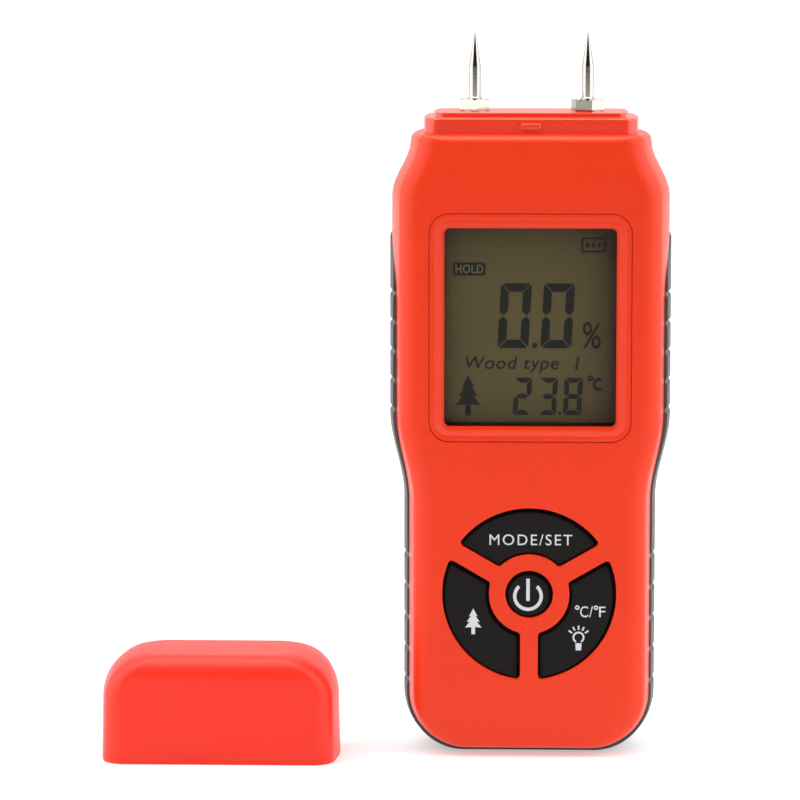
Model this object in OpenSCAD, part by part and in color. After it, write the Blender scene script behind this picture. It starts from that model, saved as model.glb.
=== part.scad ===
// Two-pin moisture meter for wood and flooring, with its pin cap standing beside it.
// All sizes are in millimetres. +Z runs up the meter from its base to the pins, -Y is
// the side with the display and keys, and the origin is the middle of the base.

/* [Case] */
// Height of the case from the base to the shoulder
case_h = 128.7; // [118:0.1:155]
// Depth of the case, front face to back face
case_d = 27; // [26.5:0.1:34]
// Width of the case across the display
head_w = 57.3; // [55:0.1:70]
// Width of the case at the hand grip
waist_w = 51.5; // [51:0.1:56]
// Width of the case at the shoulder
neck_w = 49.6; // [48:0.1:52]
// Thickness of the front and back walls
wall = 2.2; // [2:0.1:2.6]
// Thickness of the side walls, which carry the grip band
side_wall = 2.8; // [2.6:0.1:3.2]
// Thickness of the walls at the base and at the shoulder
end_wall = 3; // [2.4:0.1:3.4]
// How far the sides bulge out from the faces to the parting line
side_bulge = 2.6; // [1.5:0.1:3]
// Radius of the edge around the front and back faces
edge_r = 2; // [1:0.1:2.2]
// Radius of the two bottom corners
base_r = 12; // [9:0.5:14]
// Height at which the hand grip starts to widen into the head
waist_z = 53.2; // [48:0.1:55]
// Length over which the hand grip widens into the head
waist_run = 17.5; // [12:0.5:20]
// Length over which the head narrows into the shoulder
neck_run = 11; // [10:0.5:15]

/* [Grip band] */
// Width of the rubber band around the parting line
band_w = 14; // [9:0.5:14]
// Depth of the groove that the band lies in
band_depth = 1.3; // [1:0.1:1.5]
// How far the band stands proud of the sides
band_proud = 0.4; // [0.1:0.1:0.6]
// How far the band stands proud of the base
foot_proud = 0.6; // [0.3:0.1:1]
// Distance from the shoulder down to the pointed tips of the band
band_tip_drop = 20.2; // [16:1:26]
// Length of each pointed tip
band_tip_run = 15; // [10:1:18]
// Radius of each finger groove across the band
groove_r = 0.9; // [0.5:0.1:1.2]
// Distance between the finger grooves beside the display
head_groove_pitch = 6; // [5:0.1:6.5]
// Distance between the finger grooves of the hand grip
grip_groove_pitch = 6.55; // [5:0.05:6.6]
// Height of the lowest finger groove above the base
grip_groove_z = 15; // [14:0.1:16]

/* [Display] */
// Width of the clear window
window_w = 35.2; // [29:0.1:37]
// Height of the clear window
window_h = 40.7; // [34:0.1:43]
// Distance from the shoulder down to the middle of the window
window_drop = 39.4; // [38:0.1:44]
// Width of the bezel around the window
bezel_border = 3; // [2.4:0.1:3.2]
// Corner radius of the bezel
bezel_r = 4; // [3:0.1:5]
// Thickness of the lens
lens_t = 1.2; // [0.8:0.1:1.4]

/* [Keypad] */
// Height of the middle of the key ring above the base
keypad_z = 34.2; // [32:0.1:36]
// Outer radius of the ring of key openings
ring_r = 17.9; // [16.5:0.1:18]
// Inner radius of the ring of key openings
ring_inner_r = 8.3; // [7.6:0.1:8.8]
// Radius of the opening for the middle key
middle_r = 4.9; // [4.2:0.1:5]
// Width of the bars between the key openings
spoke_w = 3.7; // [3:0.1:4.5]
// Gap around each key
key_gap = 0.55; // [0.4:0.05:0.7]
// How far the keys sit below the front face
key_recess = 0.5; // [0.2:0.1:1]
// How far a key travels
key_travel = 1; // [0.6:0.1:1]

/* [Probes] */
// Distance between the two pins
pin_pitch = 23.2; // [20:0.1:28]
// Radius of a pin
pin_r = 1.2; // [1:0.05:1.4]
// Length of the straight part of a pin above its nut
pin_straight = 7; // [5:0.5:9]
// Length of the tapered point of a pin
pin_point = 6.6; // [4:0.1:8]
// Radius of the thread on the shank of a pin
thread_r = 1.5; // [1.45:0.05:1.6]
// Width across the flats of a pin nut
nut_af = 6; // [5:0.1:6.5]
// Height of a pin nut
nut_h = 2.4; // [2:0.1:3]
// Width of the step that the cap fits over
step_w = 44.1; // [43:0.1:45]
// Depth of the step that the cap fits over
step_d = 20.6; // [19.5:0.1:21.2]
// Height of the step that the cap fits over
step_h = 3.2; // [2.6:0.1:4]
// How far the ends of the step bulge out from its front and back
step_bulge = 0.8; // [0.4:0.1:1]
// Radius of the four upright corners of the step
step_corner_r = 2.4; // [2.2:0.1:3]
// Height of the plateau on the step
plateau_h = 1; // [0.6:0.1:1.6]

/* [Cap] */
// Wall of the cap
cap_wall = 1.5; // [1.2:0.1:1.6]
// Room between the pin tips and the roof of the cap
tip_room = 0.5; // [0.5:0.1:2]
// Radius of the two top corners of the cap, seen from the front
cap_corner_r = 9.5; // [7:0.5:11]
// Radius of the front and back edges of the roof
cap_edge_r = 4.5; // [3:0.5:5]
// Radius of the four upright corners of the cap
cap_side_r = 3.5; // [3:0.1:3.6]
// How far the ends of the cap bulge out from its front and back
cap_bulge = 1.6; // [1.2:0.1:1.7]
// Where the cap stands, to the left of the meter
cap_x = -63.8; // [-90:0.1:-58]
// Where the cap stands, in front of the middle of the meter
cap_y = -10.5; // [-20:0.1:10]

/* [Battery] */
// Radius of one cell
cell_r = 5.25; // [4.3:0.05:5.3]
// Length of one cell with its terminal
cell_l = 44.5; // [43:0.1:44.5]
// Distance between neighbouring cells
cell_pitch = 10.8; // [10.7:0.1:11]
// Length of a cell spring in place
spring_l = 5.5; // [5:0.1:6]
// Height of the hinge line of the door above the base
door_z = 12.5; // [12:0.1:14]
// Thickness of the door
door_t = 1.8; // [1.5:0.1:2]
// Gap around the door
door_gap = 0.25; // [0.2:0.05:0.3]

/* [Board] */
// Thickness of the circuit board
board_t = 1.6; // [1.2:0.1:1.6]
// Width of the circuit board
board_w = 42.4; // [41:0.1:43]

/* [Hidden] */
$fn = 48;
eps = 0.01;
slip = 0.15;           // gap between fixed pieces that are laid into each other
half_d = case_d / 2;
window_z = case_h - window_drop;
shoulder_r = 1.8;       // radius of the two shoulder corners, seen from the front
neck_top_z = case_h - shoulder_r - 0.1;
neck_z = neck_top_z - neck_run;
end_blend = 14;        // length over which the ends follow the bulge of the sides
corner_steps = 8;
side_steps = 8;

// Colours of the mouldings
red = "orangered";
rubber = [0.18, 0.17, 0.17];
key_black = [0.16, 0.14, 0.14];
steel = "silver";
brass = "goldenrod";

// Depths, front to back
window_recess = 1.6;                              // from the front face to the lens
lens_y = -half_d + window_recess;
lcd_y = lens_y + lens_t + 0.2;                    // front of the liquid crystal panel
lcd_t = 2.2;
board_y = -half_d + 8.3;                          // front of the circuit board
board_back_y = board_y + board_t;
tray_floor_t = 1.2;
cell_y = half_d - door_t - slip - 0.3 - cell_r;   // middle of the cells
tray_y = cell_y - cell_r - slip;                  // floor of the battery bay

// Height of the battery bay
tray_wall = 1.2;
contact_t = 0.4;
bay_z = door_z + 3.8;                             // bottom of the battery bay
bay_l = cell_l + spring_l + 2 * contact_t;
bay_half_w = cell_pitch + cell_r + 0.4;
door_half_w = bay_half_w + 1.6;
door_top_z = bay_z + bay_l + 1.2;

// Screws
boss_r = 2.8;
case_screw_r = 1.1;
case_screw_places = [
    [-15, 7.5], [15, 7.5],
    [-neck_w / 2 + 6.5, case_h - 11.5], [neck_w / 2 - 6.5, case_h - 11.5]
];
screw_seat_y = half_d - 4;                        // where the screw heads bear
board_z0 = 14;
board_z1 = case_h - 15;
holder_border = 1.4;
lcd_w = window_w + 3.2;
lcd_h = window_h + 4;
holder_w = lcd_w + 2 * (slip + holder_border);
holder_h = lcd_h + 2 * (slip + holder_border);
board_screw_places = [
    for (x = [-board_w / 2 + 2.2, board_w / 2 - 2.2])
        for (z = [board_z0 + 3, window_z - holder_h / 2 - 3]) [x, z]
];

// Probe head
plateau_z = case_h + step_h + plateau_h;
pin_tip_z = plateau_z + nut_h + pin_straight + pin_point;
insert_r = 2.1;
insert_l = 11.6;
flange_t = 3;                                     // flange that holds the head under the shoulder
collar_w = step_w - 6;
collar_d = 11;
cap_h = pin_tip_z - case_h + tip_room + cap_wall;
cap_half_w = neck_w / 2 - 0.1;
cap_half_d = half_d - 1.2;
cap_draft = 0.25;
snap_w = 4.1;
snap_h = 1.4;
snap_out = 0.5;
snap_z = 1.5;                                     // middle of the snap above the shoulder

// ---- Shape functions ----

function smooth(t) = let (c = min(1, max(0, t))) c * c * (3 - 2 * c);

function half_width(z) =
    waist_w / 2
    + (head_w - waist_w) / 2 * smooth((z - waist_z) / waist_run)
    - (head_w - neck_w) / 2 * smooth((z - neck_z) / neck_run);

// How far a side lies inside its widest line at distance y from the parting plane
function bulge_at(y, depth, bulge = side_bulge) = bulge * pow(abs(y) / depth, 1.7);

function edge_at(y, depth, r) =
    let (u = max(0, (abs(y) - depth + r) / r)) r * (1 - sqrt(max(0, 1 - u * u)));

// Distances from the parting plane at which a half of the case is sampled, outside in
function depth_steps(depth, r) = concat(
    [for (a = [90:-22.5:1]) depth - r + r * sin(a)],
    [for (i = [4:-1:0]) (depth - r) * i / 4]
);

// Right-hand half of the front view of the case, from the base to the shoulder
function case_side() = concat(
    [for (i = [0:corner_steps])
        let (a = -90 + 90 * i / corner_steps)
        [half_width(0) - base_r + base_r * cos(a), foot_proud + base_r + base_r * sin(a)]],
    [for (i = [0:side_steps]) let (z = waist_z + waist_run * i / side_steps) [half_width(z), z]],
    [for (i = [0:side_steps]) let (z = neck_z + (neck_top_z - neck_z) * i / side_steps) [half_width(z), z]],
    [for (a = [30:30:90])
        [half_width(case_h) + shoulder_r * (cos(a) - 1), case_h + shoulder_r * (sin(a) - 1)]]
);

// The same outline drawn in by x_in at the sides, base_in at the base and top_in at the shoulder
function drawn_in(side, x_in, base_in, top_in) = [
    for (p = side) [
        p.x * (1 - x_in / half_width(p.y)),
        p.y + base_in * max(0, 1 - (p.y - foot_proud) / end_blend)
            - top_in * max(0, 1 - (case_h - p.y) / end_blend)
    ]
];

function reversed(list) = [for (i = [len(list) - 1:-1:0]) list[i]];

function mirrored(side) = concat(side, [for (p = reversed(side)) [-p.x, p.y]]);

function case_ring(y, x_in, base_in, top_in) =
    [for (p = mirrored(drawn_in(case_side(), x_in, base_in, top_in))) [p.x, y, p.y]];

function outer_ring(y) =
    let (e = edge_at(y, half_d, edge_r), b = bulge_at(y, half_d))
    case_ring(y, e + b, e + b / 2, e);

function inner_ring(y) =
    let (b = bulge_at(y, half_d))
    case_ring(y, side_wall + b, end_wall + b / 2, end_wall);

// Plan of the step, plateau and cap: straight front and back, bulged ends, round corners
function plan(half_w, depth, r, bulge) =
    let (
        ys = depth_steps(depth, r),
        side = concat([for (y = ys) -y], [for (i = [len(ys) - 2:-1:0]) ys[i]]),
        right = [for (y = side) [half_w - bulge_at(y, depth, bulge) - edge_at(y, depth, r), y]]
    )
    concat(right, [for (i = [len(right) - 1:-1:0]) [-right[i].x, right[i].y]]);

function rounded_rect(w, h, r) = [
    for (q = [0:3], i = [0:5])
        let (a = 90 * q + 18 * i)
        [(q == 0 || q == 3 ? 1 : -1) * (w / 2 - r) + r * cos(a), (q < 2 ? 1 : -1) * (h / 2 - r) + r * sin(a)]
];

function polar(r, a) = [r * cos(a), r * sin(a)];

// One third of the key ring, with sides parallel to the bars beside it
function key_sector(r_in, r_out, half_bar, middle) =
    let (o = 60 - asin(half_bar / r_out), i = 60 - asin(half_bar / r_in))
    concat(
        [for (t = [-1:0.125:1]) polar(r_out, middle + o * t)],
        [for (t = [1:-0.25:-1]) polar(r_in, middle + i * t)]
    );

function bezier(p, t) =
    pow(1 - t, 3) * p[0] + 3 * pow(1 - t, 2) * t * p[1] + 3 * (1 - t) * t * t * p[2] + t * t * t * p[3];

function unit(v) = v / norm(v);

// Rings along Y that run straight on for a little at both ends, to be cut off flat
function run_on(rings) =
    let (ahead = [0, -0.5, 0], last = len(rings) - 1)
    concat([[for (p = rings[0]) p - ahead]], rings, [[for (p = rings[last]) p + ahead]]);

// ---- Solid helpers ----

// A closed solid through rings of equal length, with a flat end at the first and last ring;
// each ring runs anticlockwise when seen from the ring that follows it
module loft(rings) {
    n = len(rings[0]);
    m = len(rings);
    polyhedron(
        points = [for (ring = rings) for (p = ring) p],
        faces = concat(
            [[for (j = [0:n - 1]) j]],
            [for (i = [0:m - 2]) for (j = [0:n - 1]) let (k = (j + 1) % n)
                [i * n + j, (i + 1) * n + j, i * n + k]],
            [for (i = [0:m - 2]) for (j = [0:n - 1]) let (k = (j + 1) % n)
                [i * n + k, (i + 1) * n + j, (i + 1) * n + k]],
            [[for (j = [n - 1:-1:0]) (m - 1) * n + j]]
        )
    );
}

// A round wire of radius r along a path; across is never parallel to the path
module wire(path, r, sides, across) {
    last = len(path) - 1;
    loft([
        for (i = [0:last])
            let (
                t = unit(path[min(i + 1, last)] - path[max(i - 1, 0)]),
                u = unit(cross(across, t)),
                v = cross(t, u)
            )
            [for (k = [0:sides - 1]) path[i] + r * (cos(360 * k / sides) * u + sin(360 * k / sides) * v)]
    ]);
}

// A flat outline in the front view, given thickness from y0 back to y1
module slab(y0, y1) {
    translate([0, y1, 0]) rotate([90, 0, 0]) linear_extrude(y1 - y0) children();
}

module rounded_slab(w, h, r, y0, y1, z) {
    translate([0, 0, z]) slab(y0, y1) polygon(rounded_rect(w, h, r));
}

module block(x0, x1, y0, y1, z0, z1) {
    translate([x0, y0, z0]) cube([x1 - x0, y1 - y0, z1 - z0]);
}

// A cylinder that points back along +Y
module rod(x, z, y0, y1, r) {
    translate([x, y1, z]) rotate([90, 0, 0]) cylinder(h = y1 - y0, r = r);
}

// ---- Case ----

// One half of the case as a hollow cup, open at the parting plane; this is the front one
module case_cup() {
    outer = [for (y = reversed(depth_steps(half_d, edge_r))) outer_ring(-y)];
    inner = [for (i = [0:2]) inner_ring(-(half_d - wall) * i / 2)];
    difference() {
        intersection() {
            loft(run_on(outer));
            block(-head_w, head_w, -half_d, 0, 0, case_h + 1);
        }
        intersection() {
            loft(run_on(inner));
            block(-head_w, head_w, wall - half_d, half_d, 0, case_h + 1);
        }
    }
}

// The space of the grip band: a U around the parting line with two pointed tips
module band_space() {
    tip_z = case_h - band_tip_drop;
    side = concat([for (p = case_side()) if (p.y < tip_z) p], [[half_width(tip_z + 1), tip_z + 1]]);
    outside = drawn_in(side, -band_proud, -foot_proud, 0);
    inside = drawn_in(side, band_depth, band_depth, 0);
    ring = concat(mirrored(reversed(outside)), reversed(mirrored(reversed(inside))));
    tip = [
        for (i = [0:6]) let (t = i / 6)
            [band_w / 2 * (1 - pow(t, 2)), tip_z - band_tip_run * (1 - t)]
    ];
    intersection() {
        slab(-band_w, band_w) polygon(ring);
        rotate([90, 0, 90]) translate([0, 0, -head_w]) linear_extrude(2 * head_w)
            polygon(concat([[band_w / 2, -5]], tip, [for (i = [len(tip) - 2:-1:0]) [-tip[i].x, tip[i].y]],
                [[-band_w / 2, -5]]));
    }
}

// Two groups of five finger grooves on each side
groove_heights = concat(
    [for (i = [0:4]) waist_z + waist_run + groove_r + 0.2 + head_groove_pitch * i],
    [for (i = [0:4]) grip_groove_z + grip_groove_pitch * i]
);

module grip_band() color(rubber) difference() {
    band_space();
    for (side = [-1, 1])
        for (z = groove_heights)
            rod(side * (half_width(z) + band_proud + 0.3), z, -band_w, band_w, groove_r);
}

module probe_head_opening() {
    block(-collar_w / 2 - slip, collar_w / 2 + slip, -collar_d / 2 - slip, collar_d / 2 + slip,
        case_h - end_wall - 3, case_h + 1);
}

module front_shell() color(red) difference() {
    union() {
        case_cup();
        for (p = case_screw_places) rod(p.x, p.y, -half_d + wall - 0.2, 0, boss_r);
        for (p = board_screw_places) rod(p.x, p.y, -half_d + wall - 0.2, board_y, 2.1);
    }
    band_space();
    probe_head_opening();
    rounded_slab(bezel_w + 2 * slip, bezel_h + 2 * slip, bezel_r + slip, -half_d - 1, bezel_step_y, window_z);
    rounded_slab(bezel_w - 1.5, bezel_h - 1.5, bezel_r - 0.75, -half_d - 1, -half_d + wall + 1, window_z);
    for (middle = [90, 210, 330]) translate([0, 0, keypad_z]) slab(-half_d - 1, -half_d + wall + 1)
        polygon(key_sector(ring_inner_r, ring_r, spoke_w / 2, middle));
    rod(0, keypad_z, -half_d - 1, -half_d + wall + 1, middle_r);
    for (p = case_screw_places) rod(p.x, p.y, -6.9, 1, case_screw_r);
    for (p = board_screw_places) rod(p.x, p.y, board_y - 4, board_y + 1, 0.8);
}

module rear_shell() color(red) difference() {
    union() {
        mirror([0, 1, 0]) case_cup();
        for (p = case_screw_places) rod(p.x, p.y, 0, half_d - wall + 0.2, boss_r);
        block(-door_half_w - 1.2, door_half_w + 1.2, tray_y - tray_floor_t, half_d - wall + 0.2,
            bay_z - tray_wall, door_top_z + 1.2);
    }
    band_space();
    probe_head_opening();
    block(-bay_half_w, bay_half_w, tray_y, half_d + 1, bay_z, bay_z + bay_l);
    block(-door_half_w - door_gap, door_half_w + door_gap, half_d - door_t - slip, half_d + 1,
        door_z - door_t / 2 - door_gap, door_top_z + door_gap);
    block(-door_half_w - door_gap, door_half_w + door_gap, half_d - wall - 1, half_d + 1,
        door_z - door_t / 2 - door_gap, bay_z - tray_wall - 0.01);
    block(-6, 6, half_d - 0.9, half_d + 1, door_top_z, door_top_z + 5.5);
    for (p = case_screw_places) {
        rod(p.x, p.y, -1, half_d, case_screw_r + slip);
        rod(p.x, p.y, screw_seat_y, half_d + 1, 2.2);
    }
    block(cell_pitch - 2, cell_pitch + 2, cell_y - 0.5, cell_y + 0.5, bay_z + bay_l - 1, door_top_z + 3);
    block(-cell_pitch - 2, -cell_pitch + 2, cell_y - 0.5, cell_y + 0.5, bay_z - 3, bay_z + 1);
}

// ---- Display ----

bezel_w = window_w + 2 * bezel_border;
bezel_h = window_h + 2 * bezel_border;
bezel_step_y = -half_d + 1.2;
lens_w = window_w + 2.4;
lens_h = window_h + 2.4;
flare = 2;

module lens_bezel() color(red) difference() {
    union() {
        rounded_slab(bezel_w, bezel_h, bezel_r, -half_d, bezel_step_y - slip, window_z);
        rounded_slab(bezel_w - 1.8, bezel_h - 1.8, bezel_r - 0.9, -half_d, lens_y + lens_t, window_z);
    }
    loft([
        [for (p = rounded_rect(window_w, window_h, 1)) [p.x, lens_y + 1, window_z + p.y]],
        [for (p = rounded_rect(window_w, window_h, 1)) [p.x, lens_y - 0.2, window_z + p.y]],
        [for (p = rounded_rect(window_w + 2 * flare, window_h + 2 * flare, 1 + flare))
            [p.x, -half_d - 0.1, window_z + p.y]]
    ]);
    rounded_slab(lens_w + slip, lens_h + slip, 1.5, lens_y, lens_y + lens_t + 1, window_z);
}

module lcd_lens() color("lightgrey", 0.4)
    rounded_slab(lens_w, lens_h, 1.5, lens_y, lens_y + lens_t, window_z);

// Front glass, and a longer rear glass whose lower ledge carries the contacts
module lcd_panel() color("darkolivegreen") union() {
    middle_y = lcd_y + lcd_t / 2;
    top_z = window_z + lcd_h / 2;
    block(-lcd_w / 2, lcd_w / 2, lcd_y, middle_y, window_z - lcd_h / 2 + 2.6, top_z);
    block(-lcd_w / 2, lcd_w / 2, middle_y, lcd_y + lcd_t, window_z - lcd_h / 2, top_z);
}

module lcd_light_guide() color("white")
    block(-lcd_w / 2 + 1, lcd_w / 2 - 1, lcd_y + lcd_t + 0.1, board_y - 0.1,
        window_z - lcd_h / 2 + 3.4, window_z + lcd_h / 2 - 1);

module lcd_holder() color("dimgray") difference() {
    rounded_slab(holder_w, holder_h, 1, lcd_y + 0.2, board_y, window_z);
    block(-lcd_w / 2 - slip, lcd_w / 2 + slip, lcd_y - 1, board_y + 1,
        window_z - lcd_h / 2 - slip, window_z + lcd_h / 2 + slip);
}

module zebra_strip() color("pink") block(-lcd_w / 2 + 2, lcd_w / 2 - 2, lcd_y + lcd_t, board_y,
    window_z - lcd_h / 2 + 0.3, window_z - lcd_h / 2 + 2.5);

module backlight_leds() color("ivory") for (x = [-9, 9])
    block(x - 1.5, x + 1.5, board_y - 1, board_y, window_z + lcd_h / 2 - 0.9, window_z + lcd_h / 2);

// ---- Keypad ----

key_shift = [-0.1, -0.25];     // the rubber keys hang a little low in their openings
key_lip = 0.8;
key_flange_y = -half_d + wall + 0.1;
key_flange_t = 1.2;
key_stem_y = key_flange_y + key_flange_t;
contact_disc_t = 0.1;
pill_back_y = board_y - contact_disc_t - key_travel - 0.1;
pill_t = 0.8;
stem_r = 2.6;
key_angles = [90, 210, 330];
key_reach = (ring_r + ring_inner_r) / 2;
mat_half = key_reach + stem_r + 0.8;

function stem_place(i) = i == 0 ? [0, 0] : polar(key_reach, key_angles[i - 1]);

// i is 0 for the middle key, and 1 to 3 for the keys of the ring
module key(i) color(key_black) translate([key_shift.x, 0, keypad_z + key_shift.y]) {
    if (i == 0) {
        rod(0, 0, -half_d + key_recess, key_flange_y, middle_r - key_gap);
        rod(0, 0, key_flange_y, key_stem_y, middle_r + key_lip - 0.3);
    } else {
        slab(-half_d + key_recess, key_flange_y)
            polygon(key_sector(ring_inner_r + key_gap, ring_r - key_gap, spoke_w / 2 + key_gap,
                key_angles[i - 1]));
        slab(key_flange_y, key_stem_y)
            polygon(key_sector(ring_inner_r - key_lip + 0.2, ring_r + key_lip, spoke_w / 2 - key_lip,
                key_angles[i - 1]));
    }
    rod(stem_place(i).x, stem_place(i).y, key_stem_y, pill_back_y - pill_t, stem_r);
}

module pill(i) color("dimgray") translate([key_shift.x, 0, keypad_z + key_shift.y])
    rod(stem_place(i).x, stem_place(i).y, pill_back_y - pill_t, pill_back_y, stem_r - 0.2);

module key_contacts() color(brass) translate([key_shift.x, 0, keypad_z + key_shift.y]) for (i = [0:3])
    rod(stem_place(i).x, stem_place(i).y, board_y - contact_disc_t, board_y, stem_r);

// Rubber sheet on the board, with a raised collar around each key stem
module keypad_mat() color(rubber) translate([0, 0, keypad_z]) difference() {
    union() {
        block(-mat_half, mat_half, board_y - 1, board_y, -mat_half, mat_half);
        translate([key_shift.x, 0, key_shift.y]) for (i = [0:3])
            rod(stem_place(i).x, stem_place(i).y, key_stem_y + key_travel + 0.3, board_y, stem_r + 1.5);
    }
    translate([key_shift.x, 0, key_shift.y]) for (i = [0:3])
        rod(stem_place(i).x, stem_place(i).y, -half_d, board_y + 1, stem_r + 0.4);
}

// ---- Board ----

module main_board() color("darkgreen") difference() {
    block(-board_w / 2, board_w / 2, board_y, board_back_y, board_z0, board_z1);
    for (p = board_screw_places) rod(p.x, p.y, board_y - 1, board_back_y + 1, 1.15);
}

// A bare chip under a domed drop of black resin
module processor() color("black") translate([0, board_back_y, window_z - 4]) rotate([-90, 0, 0])
    rotate_extrude() polygon(concat([[0, 0]], [for (a = [0:15:90]) [5.5 * cos(a), 1.5 * sin(a)]]));

module amplifier() color("black") union() {
    block(7, 12, board_back_y + 0.2, board_back_y + 1.6, window_z + 7, window_z + 11);
    for (i = [0:3])
        block(5.9, 13.1, board_back_y, board_back_y + 0.5, window_z + 7.3 + i, window_z + 7.6 + i);
}

module buzzer() color("black") difference() {
    rod(-11, window_z + 11, board_back_y, board_back_y + 6, 6);
    rod(-11, window_z + 11, board_back_y + 5, board_back_y + 7, 1.2);
}

module capacitor() color("darkblue") rod(13.5, window_z - 3, board_back_y, board_back_y + 6.5, 2.5);

module crystal() color(steel)
    block(-14.5, -10.5, board_back_y, board_back_y + 2.6, window_z - 8, window_z + 0.5);

// Chip resistors and capacitors in three short rows
module chip_parts() color("tan") for (row = [0:2]) for (i = [0:4])
    block(-14 + 5 * i, -12 + 5 * i, board_back_y, board_back_y + 0.6,
        window_z - 15.5 + 2.1 * row, window_z - 14.3 + 2.1 * row);

// A bead on two leads, near the shoulder where the air is
module thermistor() color("darkslategray") union() {
    translate([board_w / 2 - 4, board_back_y + 3.4, board_z1 - 4]) sphere(r = 1.3);
    for (x = [-0.8, 0.8]) rod(board_w / 2 - 4 + x, board_z1 - 4, board_back_y, board_back_y + 3.4, 0.25);
}

module board_screws() color(steel) for (p = board_screw_places) {
    rod(p.x, p.y, board_y - 4, board_back_y, 0.8);
    difference() {
        rod(p.x, p.y, board_back_y, board_back_y + 1.2, 1.7);
        block(p.x - 1, p.x + 1, board_back_y + 0.7, board_back_y + 2, p.y - 0.2, p.y + 0.2);
        block(p.x - 0.2, p.x + 0.2, board_back_y + 0.7, board_back_y + 2, p.y - 1, p.y + 1);
    }
}

module case_screws() color(steel) for (p = case_screw_places) {
    rod(p.x, p.y, -6.5, screw_seat_y, case_screw_r);
    difference() {
        rod(p.x, p.y, screw_seat_y, screw_seat_y + 1.6, 1.95);
        block(p.x - 1.2, p.x + 1.2, screw_seat_y + 0.7, screw_seat_y + 2, p.y - 0.25, p.y + 0.25);
        block(p.x - 0.25, p.x + 0.25, screw_seat_y + 0.7, screw_seat_y + 2, p.y - 1.2, p.y + 1.2);
    }
}

// ---- Probes ----

// Moulded block with the step and plateau outside, and a collar and flange that the shells hold
module probe_head() color(red) difference() {
    union() {
        translate([0, 0, case_h]) linear_extrude(step_h)
            polygon(plan(step_w / 2, step_d / 2, step_corner_r, step_bulge));
        translate([0, 0, case_h + step_h - eps]) linear_extrude(plateau_h + eps)
            polygon(plan(step_w / 2 - 2.5, step_d / 2 - 1.8, step_corner_r - 0.8, step_bulge));
        block(-collar_w / 2, collar_w / 2, -collar_d / 2, collar_d / 2, case_h - end_wall - slip, case_h);
        block(-collar_w / 2 - 0.8, collar_w / 2 + 0.8, -collar_d / 2 - 1.5, collar_d / 2 + 1.5,
            case_h - end_wall - slip - flange_t, case_h - end_wall - slip);
        block(-snap_w / 2, snap_w / 2, -step_d / 2 - snap_out, 0,
            case_h + snap_z - snap_h / 2, case_h + snap_z + snap_h / 2);
    }
    for (side = [-1, 1]) translate([side * pin_pitch / 2, 0, case_h - 20]) cylinder(h = 60, r = insert_r);
}

module at_pin(side) {
    translate([side * pin_pitch / 2, 0, plateau_z]) children();
}

module probe_insert(side) color(brass) at_pin(side) difference() {
    translate([0, 0, -insert_l]) cylinder(h = insert_l, r = insert_r);
    translate([0, 0, -8.5]) cylinder(h = 10, r = thread_r + 0.03);
}

module probe_pin(side) color(steel) at_pin(side) {
    shoulder_z = nut_h + pin_straight;
    rotate_extrude() polygon([
        [0, -8], [thread_r, -8], [thread_r, nut_h], [pin_r, nut_h], [pin_r, shoulder_z],
        [0.15, shoulder_z + pin_point], [0, shoulder_z + pin_point]
    ]);
}

// The left nut shows a corner to the front, and the right one stopped a quarter of a facet away
module probe_nut(side) color(steel) at_pin(side) rotate([0, 0, side < 0 ? 30 : 45]) difference() {
    cylinder(h = nut_h, r = nut_af / 2 / cos(30), $fn = 6);
    translate([0, 0, -1]) cylinder(h = nut_h + 2, r = thread_r + 0.03);
}

tag_z = -insert_l + 0.3;
tag_reach = 5.5;

module solder_tag(side) color(brass) at_pin(side) translate([0, 0, tag_z]) difference() {
    union() {
        cylinder(h = 0.5, r = 3.2);
        translate([side < 0 ? 0 : -tag_reach, -1, 0]) cube([tag_reach, 2, 0.5]);
    }
    translate([0, 0, -1]) cylinder(h = 3, r = insert_r);
}

lead_r = 0.55;

module probe_lead(side) color(side < 0 ? "white" : "yellow") {
    x = side * (pin_pitch / 2 - tag_reach + 1);
    z = plateau_z + tag_z;
    stops = [
        [x, 0, z - 0.05], [x, 0, z - 7],
        [x, board_back_y + 6, z - 10.5], [x, board_back_y + 0.05, z - 10.5]
    ];
    wire([for (i = [0:9]) bezier(stops, i / 9)], lead_r, 8, [1, 0, 0]);
}

// ---- Battery ----

cell_bottom_z = bay_z + contact_t;
cell_top_z = bay_z + bay_l - contact_t;

// Cells 1 and 3 stand with the terminal up and cell 2 with it down
module at_cell(i) {
    translate([(i - 2) * cell_pitch, cell_y, (cell_bottom_z + cell_top_z) / 2])
        mirror([0, 0, i == 2 ? 1 : 0])
            translate([0, 0, -(cell_top_z - cell_bottom_z) / 2]) children();
}

module battery_cell(i) color("darkgray") at_cell(i) translate([0, 0, spring_l]) {
    cylinder(h = cell_l - 1, r = cell_r);
    cylinder(h = cell_l, r = 1.9);
}

module battery_springs() color(steel) for (i = [1:3])
    at_cell(i) wire([
        for (k = [0:40])
            let (r = 3.4 - 1.2 * k / 40)
            [r * cos(36 * k), r * sin(36 * k), 0.4 + (spring_l - 0.8) * k / 40]
    ], 0.3, 6, [0, 0, 1]);

// Two single plates with a soldering tab, and two plates that bridge neighbouring cells
module battery_contacts() color(steel) {
    for (end = [0, 1]) {
        z = end == 0 ? bay_z : bay_z + bay_l - contact_t;
        single = end == 0 ? -cell_pitch : cell_pitch;
        block(single - 4, single + 4, cell_y - 4, cell_y + 4, z, z + contact_t);
        block(end == 0 ? -3.5 : -cell_pitch - 4, end == 0 ? cell_pitch + 4 : 3.5, cell_y - 4, cell_y + 4,
            z, z + contact_t);
        block(single - 1.5, single + 1.5, cell_y - 0.2, cell_y + 0.2,
            end == 0 ? bay_z - 2.6 : z, end == 0 ? bay_z + contact_t : door_top_z + 2.6);
    }
}

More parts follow.
